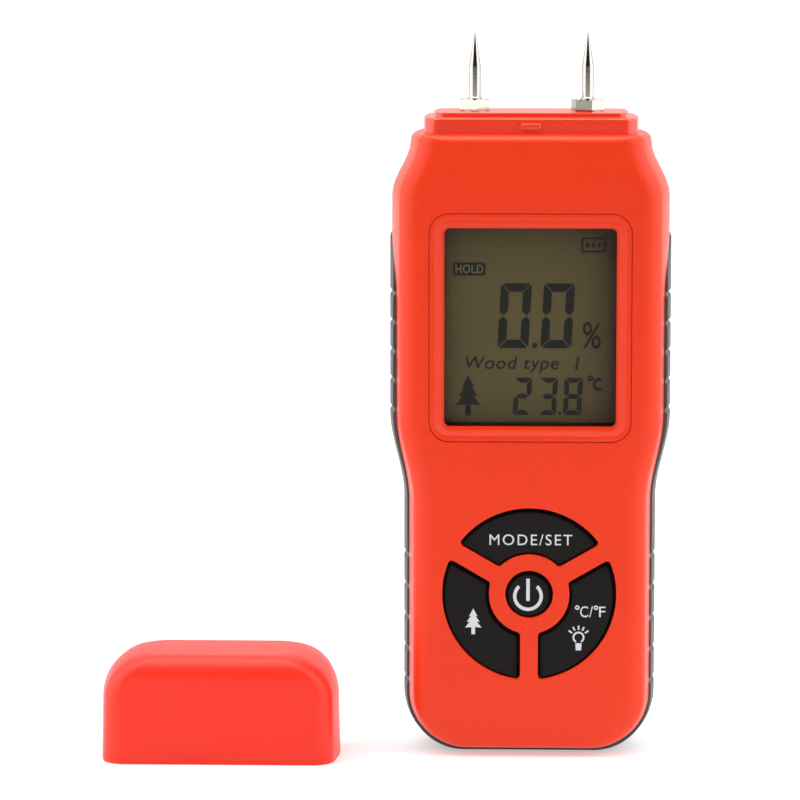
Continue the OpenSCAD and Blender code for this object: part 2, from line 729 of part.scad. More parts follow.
module battery_lead_red() color("red") {
    x = cell_pitch;
    z = door_top_z + 2.6;
    stops = [
        [x, cell_y - 0.6, z], [x, cell_y - 0.5, z + 4],
        [x, board_back_y + 4, z + 4], [x, board_back_y + 0.05, z + 4]
    ];
    wire([for (i = [0:9]) bezier(stops, i / 9)], lead_r, 8, [1, 0, 0]);
}

module battery_lead_black() color("black") {
    x = -cell_pitch;
    z = bay_z - 2.6;
    stops = [
        [x, cell_y - 0.8, z], [x, cell_y - 2, z - 5],
        [x, board_back_y + 1.5, z - 5], [x, board_back_y + 0.6, z + 1.5]
    ];
    wire([for (i = [0:9]) bezier(stops, i / 9)], lead_r, 8, [1, 0, 0]);
}

// Panel with a round lower edge that it tilts on, and two tabs that hook behind the back wall
module battery_door() color(red) {
    hinge_y = half_d - door_t / 2;
    block(-door_half_w, door_half_w, half_d - door_t, half_d, door_z, door_top_z);
    translate([-door_half_w, hinge_y, door_z]) rotate([0, 90, 0])
        cylinder(h = 2 * door_half_w, r = door_t / 2);
    for (x = [-8, 8]) {
        block(x - 2.5, x + 2.5, half_d - door_t - 1.2, hinge_y, door_z - 0.6, door_z + 0.2);
        block(x - 2.5, x + 2.5, half_d - door_t - 1.2, half_d - door_t - 0.6, door_z - 4, door_z + 0.2);
    }
    block(-5, 5, half_d - 0.8, half_d, door_top_z - 1, door_top_z + 1.6);
}

module door_foam() color("gray")
    block(-cell_pitch, cell_pitch, half_d - door_t - 0.3, half_d - door_t, bay_z + 16, bay_z + 34);

// ---- Cap ----

function cap_ring(half_w, depth, z) = [
    for (p = plan(half_w, depth, cap_side_r, cap_bulge)) [p.x, p.y, z]
];

// Rings from the rim up to the roof of a cap of this height and half size
function cap_rings(half_w, depth, top, corner, edge) = concat(
    [cap_ring(half_w, depth, 0), cap_ring(half_w - cap_draft / 2, depth - cap_draft / 2, top / 3)],
    [for (i = [0:7])
        let (
            a = 90 * i / 7,
            z = top - corner + corner * sin(a),
            u = max(0, (z - top + edge) / edge)
        )
        cap_ring(half_w - cap_draft - corner * (1 - cos(a)),
            depth - cap_draft - edge * (1 - sqrt(max(0, 1 - u * u))), z)]
);

module cap() color(red) translate([cap_x, cap_y, 0]) difference() {
    outer = cap_rings(cap_half_w, cap_half_d, cap_h, cap_corner_r, cap_edge_r);
    inner = cap_rings(cap_half_w - cap_wall, cap_half_d - cap_wall, cap_h - cap_wall,
        cap_corner_r - cap_wall, cap_edge_r - cap_wall);
    loft(concat(reversed(inner), outer));
    block(-snap_w / 2 - 0.3, snap_w / 2 + 0.3, -step_d / 2 - snap_out - 0.2, 0,
        snap_z - snap_h / 2 - 0.15, snap_z + snap_h / 2 + 0.15);
}

front_shell();
rear_shell();
grip_band();
probe_head();
probe_insert(-1);  // probe_insert_left
probe_insert(1);  // probe_insert_right
probe_pin(-1);  // probe_pin_left
probe_pin(1);  // probe_pin_right
probe_nut(-1);  // probe_nut_left
probe_nut(1);  // probe_nut_right
solder_tag(-1);  // solder_tag_left
solder_tag(1);  // solder_tag_right
probe_lead(-1);  // probe_lead_left
probe_lead(1);  // probe_lead_right
lens_bezel();
lcd_lens();
lcd_panel();
lcd_light_guide();
lcd_holder();
zebra_strip();
backlight_leds();
main_board();
key_contacts();
keypad_mat();
key(0);  // key_power
key(1);  // key_mode
key(2);  // key_species
key(3);  // key_units
pill(0);  // pill_power
pill(1);  // pill_mode
pill(2);  // pill_species
pill(3);  // pill_units
processor();
amplifier();
buzzer();
capacitor();
crystal();
chip_parts();
thermistor();
battery_cell(1);  // battery_cell_1
battery_cell(2);  // battery_cell_2
battery_cell(3);  // battery_cell_3
battery_springs();
battery_contacts();
battery_lead_red();
battery_lead_black();
battery_door();
door_foam();
case_screws();
board_screws();
cap();
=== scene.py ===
import math
from types import SimpleNamespace

import bmesh
import bpy
from bpy.props import FloatProperty, FloatVectorProperty, PointerProperty
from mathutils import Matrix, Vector


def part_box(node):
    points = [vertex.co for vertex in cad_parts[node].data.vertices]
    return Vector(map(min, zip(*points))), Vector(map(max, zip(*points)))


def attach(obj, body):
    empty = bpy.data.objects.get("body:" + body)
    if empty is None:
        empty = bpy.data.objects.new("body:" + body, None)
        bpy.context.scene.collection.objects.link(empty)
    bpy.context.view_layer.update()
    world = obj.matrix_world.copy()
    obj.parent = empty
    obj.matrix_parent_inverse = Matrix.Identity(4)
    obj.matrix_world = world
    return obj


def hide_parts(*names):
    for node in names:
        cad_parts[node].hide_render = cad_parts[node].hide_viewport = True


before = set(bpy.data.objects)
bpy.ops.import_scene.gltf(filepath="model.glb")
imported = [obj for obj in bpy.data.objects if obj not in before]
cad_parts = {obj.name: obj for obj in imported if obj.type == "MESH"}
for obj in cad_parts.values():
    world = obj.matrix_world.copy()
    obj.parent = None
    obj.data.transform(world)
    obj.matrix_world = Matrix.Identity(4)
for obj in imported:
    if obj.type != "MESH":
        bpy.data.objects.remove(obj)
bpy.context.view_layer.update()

bl_info = {
    "name": "Pin Moisture Meter",
    "version": (1, 0, 0),
    "blender": (4, 5, 0),
    "location": "3D View > Sidebar > Meter",
    "description": "Builds a two-pin moisture meter with its cap, piece by piece",
    "category": "Add Mesh",
}

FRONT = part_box("front_shell")
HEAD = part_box("probe_head")
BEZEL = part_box("lens_bezel")
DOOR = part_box("battery_door")
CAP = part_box("cap")
NUTS = (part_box("probe_nut_left"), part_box("probe_nut_right"))
PINS = (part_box("probe_pin_left"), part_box("probe_pin_right"))
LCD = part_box("lcd_panel")
KEYS = {name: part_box(name) for name in ("key_power", "key_mode", "key_species", "key_units")}

# Directions of the ring keys from the middle of the ring, in degrees
KEY_ANGLES = {"key_mode": 90, "key_species": 210, "key_units": 330}
# How far the door's hooks and its tongue reach beyond its panel, in millimetres
DOOR_HOOK = 3.1
DOOR_TONGUE = 1.6


# ---- Sizes and colours ----

def length(name, description, default):
    return FloatProperty(name=name, description=description, default=default, min=0.0, unit="LENGTH")


def colour(name, description, default):
    return FloatVectorProperty(name=name, description=description, default=default, size=3,
                               min=0.0, max=1.0, subtype="COLOR")


class MeterSizes(bpy.types.PropertyGroup):
    case_height: length("Case height", "Height of the shoulder above the floor", FRONT[1].z)
    half_depth: length("Half depth", "Distance from the parting plane to the front face", -FRONT[0].y)
    head_width: length("Head width", "Width of the case across the display", 0.0573)
    waist_width: length("Waist width", "Width of the case at the hand grip", 0.0515)
    neck_width: length("Neck width", "Width of the case at the shoulder", 0.0496)
    waist_height: length("Waist height", "Height at which the grip widens into the head", 0.0532)
    waist_run: length("Waist run", "Length over which the grip widens", 0.0175)
    neck_run: length("Neck run", "Length over which the head narrows", 0.011)
    side_bulge: length("Side bulge", "How far the sides bulge out to the parting line", 0.0026)
    edge_depth: length("Edge depth", "How far the rounded edge reaches back from the faces", 0.0028)
    edge_side: length("Edge at the sides", "Width of the rounded edge at the sides", 0.0043)
    edge_base: length("Edge at the base", "Height of the rounded edge at the base", 0.0026)
    edge_top: length("Edge at the shoulder", "Height of the rounded edge at the shoulder", 0.0019)
    cap_side: length("Cap side radius", "Radius of the upright corners of the cap", 0.0035)
    cap_bulge: length("Cap bulge", "How far the ends of the cap bulge out", 0.0016)
    step_bulge: length("Step bulge", "How far the ends of the step bulge out", 0.0008)
    step_corner: length("Step corner radius", "Radius of the upright corners of the step", 0.0024)
    base_radius: length("Base radius", "Radius of the bottom corners", 0.012)
    foot: length("Foot", "Height of the case bottom above the floor", 0.0006)
    shoulder_radius: length("Shoulder radius", "Radius of the shoulder corners", 0.0018)
    wall: length("Wall", "Thickness of the front and back walls", 0.0022)
    side_wall: length("Side wall", "Thickness of the side walls", 0.0022)
    end_wall: length("End wall", "Thickness of the walls at base and shoulder", 0.0024)
    band_half: length("Band half width", "Half the width of the grip band", 0.007)
    band_flare: length("Band flare", "How much wider each half of the band is beside the display", 0.0015)
    band_depth: length("Band depth", "Depth of the groove that holds the band", 0.0013)
    band_proud: length("Band height", "How far the band stands proud", 0.0004)
    band_tip: length("Band tip height", "Height of the pointed tips of the band", FRONT[1].z - 0.0202)
    band_tip_run: length("Band tip length", "Length of each pointed tip", 0.015)
    finger_depth: length("Finger groove depth", "Depth of the finger grooves", 0.0005)
    window_width: length("Window width", "Width of the clear window", 0.0352)
    bezel_radius: length("Bezel radius", "Corner radius of the bezel", 0.004)
    keypad_height: length("Keypad height", "Height of the middle of the key ring", 0.0342)
    ring_radius: length("Ring radius", "Outer radius of the ring of keys", 0.0179)
    ring_inner: length("Ring inner radius", "Inner radius of the ring of keys", 0.0083)
    middle_radius: length("Middle key radius", "Radius of the opening of the middle key", 0.0049)
    spoke: length("Bar width", "Width of the bars between the keys", 0.0037)
    key_gap: length("Key gap", "Gap around each key", 0.00055)
    key_recess: length("Key recess", "How far the keys sit below the face", 0.0005)
    nut_flats: length("Nut size", "Width of a nut across its flats", 0.006)
    pin_radius: length("Pin radius", "Radius of a pin", 0.0012)
    pin_straight: length("Pin straight length", "Straight length of a pin above its nut", 0.007)
    cap_wall: length("Cap wall", "Wall of the cap", 0.0015)
    cap_corner: length("Cap corner radius", "Radius of the top corners of the cap", 0.0095)
    cap_edge: length("Cap edge radius", "Radius of the front and back roof edges", 0.0045)


class MeterColours(bpy.types.PropertyGroup):
    case_red: colour("Case red", "Colour of the red mouldings", (0.8, 0.038, 0.0055))
    grip_rubber: colour("Grip rubber", "Colour of the grip band", (0.05, 0.046, 0.046))
    key_rubber: colour("Key rubber", "Colour of the keys", (0.0085, 0.0068, 0.0068))
    key_mark: colour("Key marks", "Colour of the marks on the keys", (0.62, 0.66, 0.69))
    display: colour("Display", "Colour of the display", (0.075, 0.06, 0.022))
    segment: colour("Segments", "Colour of the dark segments", (0.0085, 0.0095, 0.008))
    steel: colour("Steel", "Colour of pins and springs", (0.5, 0.46, 0.43))
    nickel: colour("Nickel", "Colour of the nuts", (0.43, 0.405, 0.35))
    floor: colour("Floor", "Colour of the floor", (0.62, 0.62, 0.62))


def millimetres():
    """The sizes of the scene's meter in millimetres, by name."""
    group = bpy.context.scene.meter_sizes
    return SimpleNamespace(**{name: getattr(group, name) * 1000 for name in MeterSizes.__annotations__})


# ---- Shader writing ----

class Value:
    """A node socket that adds a Math node for every arithmetic operator used on it."""

    def __init__(self, nodes, socket):
        self.nodes = nodes
        self.socket = socket

    def math(self, operation, *values):
        node = self.nodes.node("ShaderNodeMath", {"operation": operation}, dict(enumerate(values)))
        return Value(self.nodes, node.outputs[0])

    def __add__(self, other):
        return self.math("ADD", self, other)

    def __radd__(self, other):
        return self.math("ADD", other, self)

    def __sub__(self, other):
        return self.math("SUBTRACT", self, other)

    def __rsub__(self, other):
        return self.math("SUBTRACT", other, self)

    def __mul__(self, other):
        return self.math("MULTIPLY", self, other)

    def __rmul__(self, other):
        return self.math("MULTIPLY", other, self)

    def __truediv__(self, other):
        return self.math("DIVIDE", self, other)

    def __gt__(self, other):
        return self.math("GREATER_THAN", self, other)

    def __lt__(self, other):
        return self.math("LESS_THAN", self, other)

    def sine(self):
        return self.math("SINE", self)

    def absolute(self):
        return self.math("ABSOLUTE", self)

    def clamped(self):
        return self.math("MINIMUM", self.math("MAXIMUM", self, 0.0), 1.0)


class Nodes:
    """A node tree that is written one node at a time."""

    def __init__(self, tree, coordinates):
        self.tree = tree
        self.place = self.node("ShaderNodeTexCoord").outputs[coordinates]

    def node(self, kind, settings=None, inputs=None):
        """Adds a node of this type, with its settings made before its sockets are filled."""
        node = self.tree.nodes.new(kind)
        for name, value in (settings or {}).items():
            if name == "stops":
                ramp = node.color_ramp.elements
                for i, (position, shade) in enumerate(value):
                    stop = ramp[i] if i < len(ramp) else ramp.new(position)
                    stop.position = position
                    stop.color = (*shade, 1.0)
            else:
                setattr(node, name, value)
        for name, value in (inputs or {}).items():
            self.fill(node.inputs[name], value)
        return node

    def fill(self, socket, value):
        if isinstance(value, Value):
            value = value.socket
        if isinstance(value, bpy.types.NodeSocket):
            self.tree.links.new(value, socket)
        elif socket.type == "RGBA":
            socket.default_value = (*value, 1.0)
        else:
            socket.default_value = value

    def mix(self, factor, first, second):
        node = self.node("ShaderNodeMix", {"data_type": "RGBA"}, {0: factor, 6: first, 7: second})
        return node.outputs[2]

    def axes(self):
        node = self.node("ShaderNodeSeparateXYZ", None, {0: self.place})
        return [Value(self, node.outputs[i]) for i in range(3)]


class Finish(Nodes):
    """One material around a Principled shader, on Object coordinates."""

    def __init__(self, name, **sockets):
        self.material = bpy.data.materials.new(name)
        self.material.use_nodes = True
        super().__init__(self.material.node_tree, "Object")
        self.shader = self.tree.nodes["Principled BSDF"]
        for socket, value in sockets.items():
            self.set(socket, value)

    def set(self, name, value):
        self.fill(self.shader.inputs[name.replace("_", " ").title().replace("Ior", "IOR")], value)

    def lit(self, shade, strength):
        """Gives the surface a glow of its own."""
        self.set("Emission Color", shade)
        self.set("Emission Strength", strength)

    def moved(self, scale, turn=(0.0, 0.0, 0.0)):
        """Object coordinates, stretched and turned."""
        return self.node("ShaderNodeMapping", None,
                         {"Vector": self.place, "Scale": scale, "Rotation": turn}).outputs["Vector"]

    def noise(self, scale, detail=2.0, roughness=0.5, vector=None):
        node = self.node("ShaderNodeTexNoise", None, {
            "Vector": vector or self.place, "Scale": scale, "Detail": detail, "Roughness": roughness})
        return Value(self, node.outputs["Fac"])

    def cells(self, scale):
        node = self.node("ShaderNodeTexVoronoi", None, {"Vector": self.place, "Scale": scale})
        return Value(self, node.outputs["Distance"])

    def bump(self, height, distance):
        node = self.node("ShaderNodeBump", None, {"Height": height, "Distance": distance})
        self.set("Normal", node.outputs["Normal"])


def shade(rgb, factor):
    return tuple(min(1.0, c * factor) for c in rgb)


def moulded(name, rgb, low, high, grain, depth, **sockets):
    """Moulded plastic or rubber: faint cloudiness, a fine eroded grain and an uneven gloss."""
    f = Finish(name, **sockets)
    cloud = f.noise(38.0, 3.0)
    fine = f.noise(grain, 2.0, 0.6)
    f.set("Base Color", f.mix(cloud, shade(rgb, 0.94), shade(rgb, 1.05)))
    f.set("Roughness", low + (high - low) * f.noise(grain * 0.21, 3.0))
    f.bump(fine + 0.35 * f.noise(grain * 0.45, 1.0), depth)
    return f.material


def metal(name, rgb, low, high, stretch, depth):
    """Turned or rolled metal: streaks along one way and small stains."""
    f = Finish(name, metallic=1.0)
    streak = f.noise(1.0, 3.0, 0.6, f.moved(stretch))
    stain = f.noise(420.0, 4.0)
    f.set("Base Color", f.mix(stain, shade(rgb, 0.86), shade(rgb, 1.06)))
    f.set("Roughness", low + (high - low) * streak)
    f.bump(streak, depth)
    return f.material


def board_green(name):
    """Solder mask over copper tracks, with tinned pads."""
    f = Finish(name, coat_weight=0.25)
    x, _, z = f.axes()
    upright = (x * 2100.0 + 2.2 * f.noise(160.0)).sine() > 0.72
    level = (z * 1500.0 + 2.6 * f.noise(120.0)).sine() > 0.86
    tracks = (upright + level).clamped()
    pads = f.cells(330.0) < 0.19
    copper = f.mix(tracks, (0.012, 0.1, 0.035), (0.03, 0.2, 0.07))
    f.set("Base Color", f.mix(pads, copper, (0.6, 0.58, 0.52)))
    f.set("Roughness", 0.34 - 0.08 * f.noise(900.0))
    f.bump(tracks, 0.00004)
    return f.material


def cell_jacket(name):
    """Printed sleeve of a battery cell: a dark body, a bright band and a thin stripe."""
    f = Finish(name, metallic=0.35)
    z = f.axes()[2]
    band = (z > 0.053) * (z < 0.0575)
    stripe = (z - 0.0265).absolute() < 0.0005
    body = f.mix(f.noise(60.0), (0.02, 0.025, 0.03), (0.035, 0.04, 0.05))
    f.set("Base Color", f.mix((band + stripe).clamped(), body, (0.62, 0.44, 0.2)))
    f.set("Roughness", 0.25 + 0.12 * f.noise(700.0))
    f.bump(f.noise(2200.0), 0.00001)
    return f.material


def display_glass(name, rgb):
    """Reflective display: an even murky film with a lighter middle and painted shade that darkens it a little
    towards its edges, where the frame round it would shade it.
    """
    f = Finish(name, specular_ior_level=0.2)
    x, _, z = f.axes()
    middle_x = (LCD[0].x + LCD[1].x) / 2
    middle_z = (LCD[0].z + LCD[1].z) / 2
    across = (x - middle_x + 0.0022).absolute() / 0.019
    up = (z - middle_z).absolute() / 0.022
    # Painted shade: the colour darkens towards the edges of the display, where the frame shades it, and the
    # middle is painted lighter
    rim = (across * across * across * across + up * up * up * up) * 0.75
    edge = (rgb[0] * 0.5, rgb[1] * 0.32, rgb[2] * 0.35)
    f.set("Base Color", f.mix((rim + 0.1 * f.noise(90.0)).clamped(), shade(rgb, 1.3), edge))
    f.set("Roughness", 0.42 + 0.1 * f.noise(2600.0))
    f.bump(f.noise(5200.0), 0.000006)
    return f.material


def clear_window(name):
    f = Finish(name)
    f.set("Base Color", f.mix(f.noise(200.0), (0.03, 0.028, 0.024), (0.05, 0.046, 0.04)))
    f.set("Roughness", 0.06 + 0.05 * f.noise(600.0))
    f.set("Alpha", 0.04)
    f.bump(f.noise(120.0), 0.000004)
    return f.material


def foam_pad(name):
    f = Finish(name)
    pores = f.cells(2600.0)
    f.set("Base Color", f.mix(pores, (0.05, 0.05, 0.052), (0.13, 0.13, 0.135)))
    f.set("Roughness", 0.9 - 0.1 * pores)
    f.bump(pores, 0.0002)
    return f.material


FINISHES = {}


def finish_makers():
    """A function for each of the record's slots, which makes its material under a given name."""
    c = bpy.context.scene.meter_colours

    def matt(*values, **sockets):
        return lambda name: moulded(name, *values, **sockets)

    def shiny(*values):
        return lambda name: metal(name, *values)

    return {
        "case_red": matt(c.case_red, 0.26, 0.36, 4200.0, 0.00004, specular_ior_level=0.27),
        "head_red": matt(shade(c.case_red, 0.98), 0.24, 0.34, 4200.0, 0.000016, specular_ior_level=0.7),
        "cap_red": matt((0.87, 0.03, 0.012), 0.32, 0.44, 4200.0, 0.000018, specular_ior_level=0.3),
        "grip_rubber": matt(c.grip_rubber, 0.4, 0.55, 3600.0, 0.00003),
        "key_rubber": matt(c.key_rubber, 0.56, 0.7, 4600.0, 0.00002, specular_ior_level=0.14),
        "key_mark": matt(c.key_mark, 0.5, 0.62, 4600.0, 0.00001),
        "mat_rubber": matt((0.05, 0.05, 0.052), 0.55, 0.7, 2400.0, 0.00003),
        "carbon": matt((0.012, 0.012, 0.013), 0.4, 0.6, 6000.0, 0.00002),
        "brass": shiny((0.74, 0.5, 0.2), 0.22, 0.4, (900.0, 900.0, 5200.0), 0.000008),
        "pin_steel": shiny(c.steel, 0.09, 0.19, (300.0, 300.0, 9000.0), 0.000006),
        "nut_nickel": shiny(c.nickel, 0.06, 0.14, (2500.0, 2500.0, 700.0), 0.000005),
        "window_clear": clear_window,
        "lcd_glass": lambda name: display_glass(name, c.display),
        "segment": matt(c.segment, 0.4, 0.5, 5200.0, 0.000004, specular_ior_level=0.2),
        "sign_light": matt(shade(c.display, 1.5), 0.4, 0.5, 5200.0, 0.000004),
        "white_plastic": matt((0.8, 0.8, 0.78), 0.4, 0.52, 3200.0, 0.00002),
        "board_green": board_green,
        "black_plastic": matt((0.02, 0.02, 0.021), 0.35, 0.5, 3200.0, 0.00002),
        "can_metal": shiny((0.66, 0.66, 0.67), 0.22, 0.36, (2400.0, 500.0, 500.0), 0.000006),
        "cell_jacket": cell_jacket,
        "wire_red": matt((0.55, 0.02, 0.015), 0.38, 0.5, 3000.0, 0.00001),
        "wire_black": matt((0.018, 0.018, 0.02), 0.38, 0.5, 3000.0, 0.00001),
        "wire_light": matt((0.74, 0.72, 0.62), 0.38, 0.5, 3000.0, 0.00001),
        "foam": foam_pad,
    }


def finish(slot):
    """The material of a slot, made the first time that it is asked for."""
    if slot not in FINISHES:
        FINISHES[slot] = finish_makers()[slot](slot)
    return FINISHES[slot]


# ---- Mesh writing ----

def skin(bm, rings, closed=True):
    """Covers rings of equal length with a grid that is wrapped round them."""
    count = len(rings[0])
    columns = count if closed else count - 1
    rows = len(rings) - 1
    made = bmesh.ops.create_grid(bm, x_segments=columns, y_segments=rows, size=1.0)["verts"]
    for vert in made:
        i = round((vert.co.x + 1) / 2 * columns) % count
        j = round((vert.co.y + 1) / 2 * rows)
        vert.co = rings[j][i]
    bmesh.ops.remove_doubles(bm, verts=made, dist=1e-5)


def shell(rings):
    """A new mesh with the skin of these rings."""
    bm = bmesh.new()
    skin(bm, rings)
    return bm


def fill_level(bm, axis, level):
    """Fills the open loops that lie at this level along an axis (1 for Y, 2 for Z), leaving holes."""
    edges = [e for e in bm.edges if e.is_boundary and all(abs(v.co[axis] - level) < 1e-4 for v in e.verts)]
    if edges:
        normal = Vector((0, 0, 0))
        normal[axis] = 1
        bmesh.ops.triangle_fill(bm, edges=edges, use_beauty=True, use_dissolve=False, normal=normal)


def piece(name, bm, slot, body, nodes=(), sharp=32.0):
    """Makes an object of a mesh in millimetres and gives it its finish and its body."""
    bmesh.ops.remove_doubles(bm, verts=bm.verts, dist=1e-5)
    bmesh.ops.recalc_face_normals(bm, faces=bm.faces)
    bmesh.ops.scale(bm, vec=(0.001, 0.001, 0.001), verts=bm.verts)
    for face in bm.faces:
        face.smooth = True
    for edge in bm.edges:
        edge.smooth = edge.calc_face_angle(0.0) < math.radians(sharp)
    mesh = bpy.data.meshes.new(name)
    bm.to_mesh(mesh)
    bm.free()
    obj = bpy.data.objects.new(name, mesh)
    bpy.context.scene.collection.objects.link(obj)
    mesh.materials.append(finish(slot))
    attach(obj, body)
    if nodes:
        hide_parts(*nodes)
    return obj


def block(bm, size, place):
    """A plain box of this size around a place."""
    made = bmesh.ops.create_cube(bm, size=1.0)["verts"]
    bmesh.ops.scale(bm, vec=size, verts=made)
    bmesh.ops.translate(bm, vec=place, verts=made)


def soften(bm, offset, segments):
    """Rounds every edge of a mesh."""
    bmesh.ops.bevel(bm, geom=list(bm.edges), offset=offset, offset_type="OFFSET", affect="EDGES",
                    segments=segments, profile=0.5, material=-1)


def arc(start, stop, steps):
    """Angles in radians from start to stop in degrees."""
    return [math.radians(start + (stop - start) * i / steps) for i in range(steps + 1)]


def corner_frame(corners, radius, steps=6):
    """Pairs of base point and outward direction round a shape whose corners are drawn in by radius."""
    return [(x, z, math.cos(a), math.sin(a))
            for x, z, start, stop in corners for a in arc(start, stop, steps)], radius


def rect_frame(w, h, radius, steps=8):
    x, z = w / 2 - radius, h / 2 - radius
    corners = [(x, z, 0, 90), (-x, z, 90, 180), (-x, -z, 180, 270), (x, -z, 270, 360)]
    return corner_frame(corners, radius, steps)


def notched_frame(half_w, z0, z1, notch, notch_z, radius, steps=4):
    """A rectangle from z0 to z1, with a notch in the middle of its top that reaches up to notch_z."""
    x, n = half_w - radius, notch - radius
    low, high, tip = z0 + radius, z1 - radius, notch_z - radius

    def turns(*corners):
        return corner_frame(corners, radius, steps)[0]

    return (turns((x, high, 0, 90)) + [(n, high, 1, 1)]
            + turns((n, tip, 0, 90), (-n, tip, 90, 180)) + [(-n, high, -1, 1)]
            + turns((-x, high, 90, 180), (-x, low, 180, 270), (x, low, 270, 360))), radius


def round_frame(radius, steps=72):
    return [(0.0, 0.0, math.cos(a), math.sin(a)) for a in arc(0, 360, steps)[:-1]], radius


def sector_frame(inner, outer, half_bar, middle, radius, steps=5):
    """A third of a ring, with sides parallel to the bars beside it and rounded corners."""
    low, high, bar = inner + radius, outer - radius, half_bar + radius
    far, near = 60 - math.degrees(math.asin(bar / high)), 60 - math.degrees(math.asin(bar / low))
    # Each run has its radius, the angles of its base points, the angles that they face and its steps
    turn_out, turn_in = range(1, steps + 1), range(steps)
    runs = (
        (high, (-far, far), (-far, far), range(25), 24),
        (high, (far, far), (far, 150), turn_out, steps),
        (low, (near, near), (150, 180 + near), turn_in, steps),
        (low, (near, -near), (180 + near, 180 - near), range(13), 12),
        (low, (-near, -near), (180 - near, 210), turn_out, steps),
        (high, (-far, -far), (210, 360 - far), turn_in, steps),
    )
    out = []
    for r, at, facing, counts, whole in runs:
        for i in counts:
            p, n = [math.radians(middle + a + (b - a) * i / whole) for a, b in (at, facing)]
            out.append((r * math.cos(p), r * math.sin(p), math.cos(n), math.sin(n)))
    return out, radius


def frame_ring(shape, grow, y, x0=0.0, z0=0.0):
    """The outline of a frame, grown outwards, in the plane y."""
    points, radius = shape
    reach = radius + grow
    return [Vector((x0 + x + nx * reach, y, z0 + z + nz * reach)) for x, z, nx, nz in points]


def rim(shape, fillet, face, way, x0=0.0, z0=0.0, steps=4):
    """Rings of a rounded rim that starts in the plane y = face; a negative fillet rounds an outer edge."""
    turns = [(1 - math.sin(a), 1 - math.cos(a)) for a in arc(0, 90, steps)]
    return [frame_ring(shape, fillet * u, face + way * abs(fillet) * v, x0, z0) for u, v in turns]


def smooth(t):
    t = min(1.0, max(0.0, t))
    return t * t * (3 - 2 * t)


def half_width(s, z):
    neck_start = s.case_height - s.shoulder_radius - 0.1 - s.neck_run
    widened = smooth((z - s.waist_height) / s.waist_run)
    narrowed = smooth((z - neck_start) / s.neck_run)
    return (s.waist_width + (s.head_width - s.waist_width) * widened
            - (s.head_width - s.neck_width) * narrowed) / 2


def bulge_at(bulge, y, depth):
    return bulge * (abs(y) / depth) ** 1.7


def edge_at(y, depth, radius):
    u = min(1.0, max(0.0, (abs(y) - depth + radius) / radius))
    return radius * (1 - math.sqrt(1 - u * u))


def case_side(s, step):
    """Right half of the outline of the case, from the middle of its base to the middle of its shoulder."""
    r, foot = s.base_radius, s.foot
    x = half_width(s, 0) - r
    side = [(x * i / 6, foot) for i in range(6)]
    side += [(x + r * math.cos(a), foot + r + r * math.sin(a)) for a in arc(-90, 0, 20)]
    top = s.case_height - s.shoulder_radius - 0.1
    count = math.ceil((top - foot - r) / step)
    heights = [foot + r + (top - foot - r) * i / count for i in range(1, count + 1)]
    side += [(half_width(s, z), z) for z in heights]
    q, w = s.shoulder_radius, half_width(s, s.case_height)
    side += [(w + q * (math.cos(a) - 1), s.case_height + q * (math.sin(a) - 1)) for a in arc(15, 90, 5)]
    side += [((w - q) * (1 - i / 6), s.case_height) for i in range(1, 7)]
    return side


def mirrored(side):
    """A closed outline from its right half, whose first and last points are on the middle line."""
    return side + [(-x, z) for x, z in side[-2:0:-1]]


def drawn_in(s, x, z, x_in, base_in, top_in, y):
    """A point of the outline, moved inwards at the sides, near the base and near the shoulder."""
    blend = 14.0
    near_base = max(0.0, 1 - (z - s.foot) / blend)
    near_top = max(0.0, 1 - (s.case_height - z) / blend)
    return Vector((x * (1 - x_in / half_width(s, z)), y, z + base_in * near_base - top_in * near_top))


def outer_point(s, x, z, y, sunk=0.0):
    depth = s.half_depth
    e, b = edge_at(y, depth, s.edge_depth) / s.edge_depth, bulge_at(s.side_bulge, y, depth)
    return drawn_in(s, x, z, e * s.edge_side + b + sunk, e * s.edge_base + b / 2 + sunk,
                    e * s.edge_top + sunk, y)


def band_half_at(s, z):
    """Half the width of the grip band at a height: wider beside the display, and nothing above its tips."""
    t = (z - s.band_tip + s.band_tip_run) / s.band_tip_run
    full = s.band_half + s.band_flare * smooth((z - s.waist_height) / s.waist_run)
    return full * (1 - min(1.0, max(0.0, t)) ** 2)


def case_half(s, way, side):
    """Outer skin, parting face and inner skin of one half; way is -1 for the front and 1 for the back."""
    depth, wall, edge = s.half_depth, s.wall, s.edge_depth
    outline = mirrored(side)
    start = depth - edge
    lip, sunk = 0.22, s.band_depth + 0.1

    def ring(y_at, sunk_at=lambda band: 0.0):
        """A ring of the outer skin, whose two values follow from the half width of the band."""
        bands = [(x, z, band_half_at(s, z)) for x, z in outline]
        return [outer_point(s, x, z, way * y_at(band), sunk_at(band)) for x, z, band in bands]

    rings = [ring(lambda band: start + edge * math.sin(a)) for a in arc(90, 0, 12)]
    for t in (0.82, 0.64, 0.46, 0.3, 0.16, 0.07, 0.03):
        rings.append(ring(lambda band: (band + lip) * (1 - t) + start * t))
    for a in [k * math.pi / 2 for k in (0.0, 0.35, 0.7, 1.0)]:
        rings.append(ring(lambda band: band + lip * math.cos(a), lambda band: lip * (1 - math.cos(a))))
    rings.append(ring(lambda band: band, lambda band: max(lip, sunk * min(1.0, band))))
    rings.append(ring(lambda band: 0.0, lambda band: max(lip * 0.6, sunk * min(1.0, band))))
    for y in (0.0, (depth - wall) / 2, depth - wall):
        b = bulge_at(s.side_bulge, y, depth)
        rings.append([drawn_in(s, x, z, s.side_wall + b, s.end_wall + b / 2, s.end_wall, way * y)
                      for x, z in outline])
    return shell(rings)


def hole(bm, shape, x0, z0, way, face, back, fillet=0.3):
    """A hole with a rounded rim from the face of a shell to the back of its wall."""
    rings = [frame_ring(shape, fillet + 0.12, way * face, x0, z0)]
    rings += rim(shape, fillet, way * face, -way, x0, z0)
    rings.append(frame_ring(shape, 0.0, way * back, x0, z0))
    skin(bm, rings)


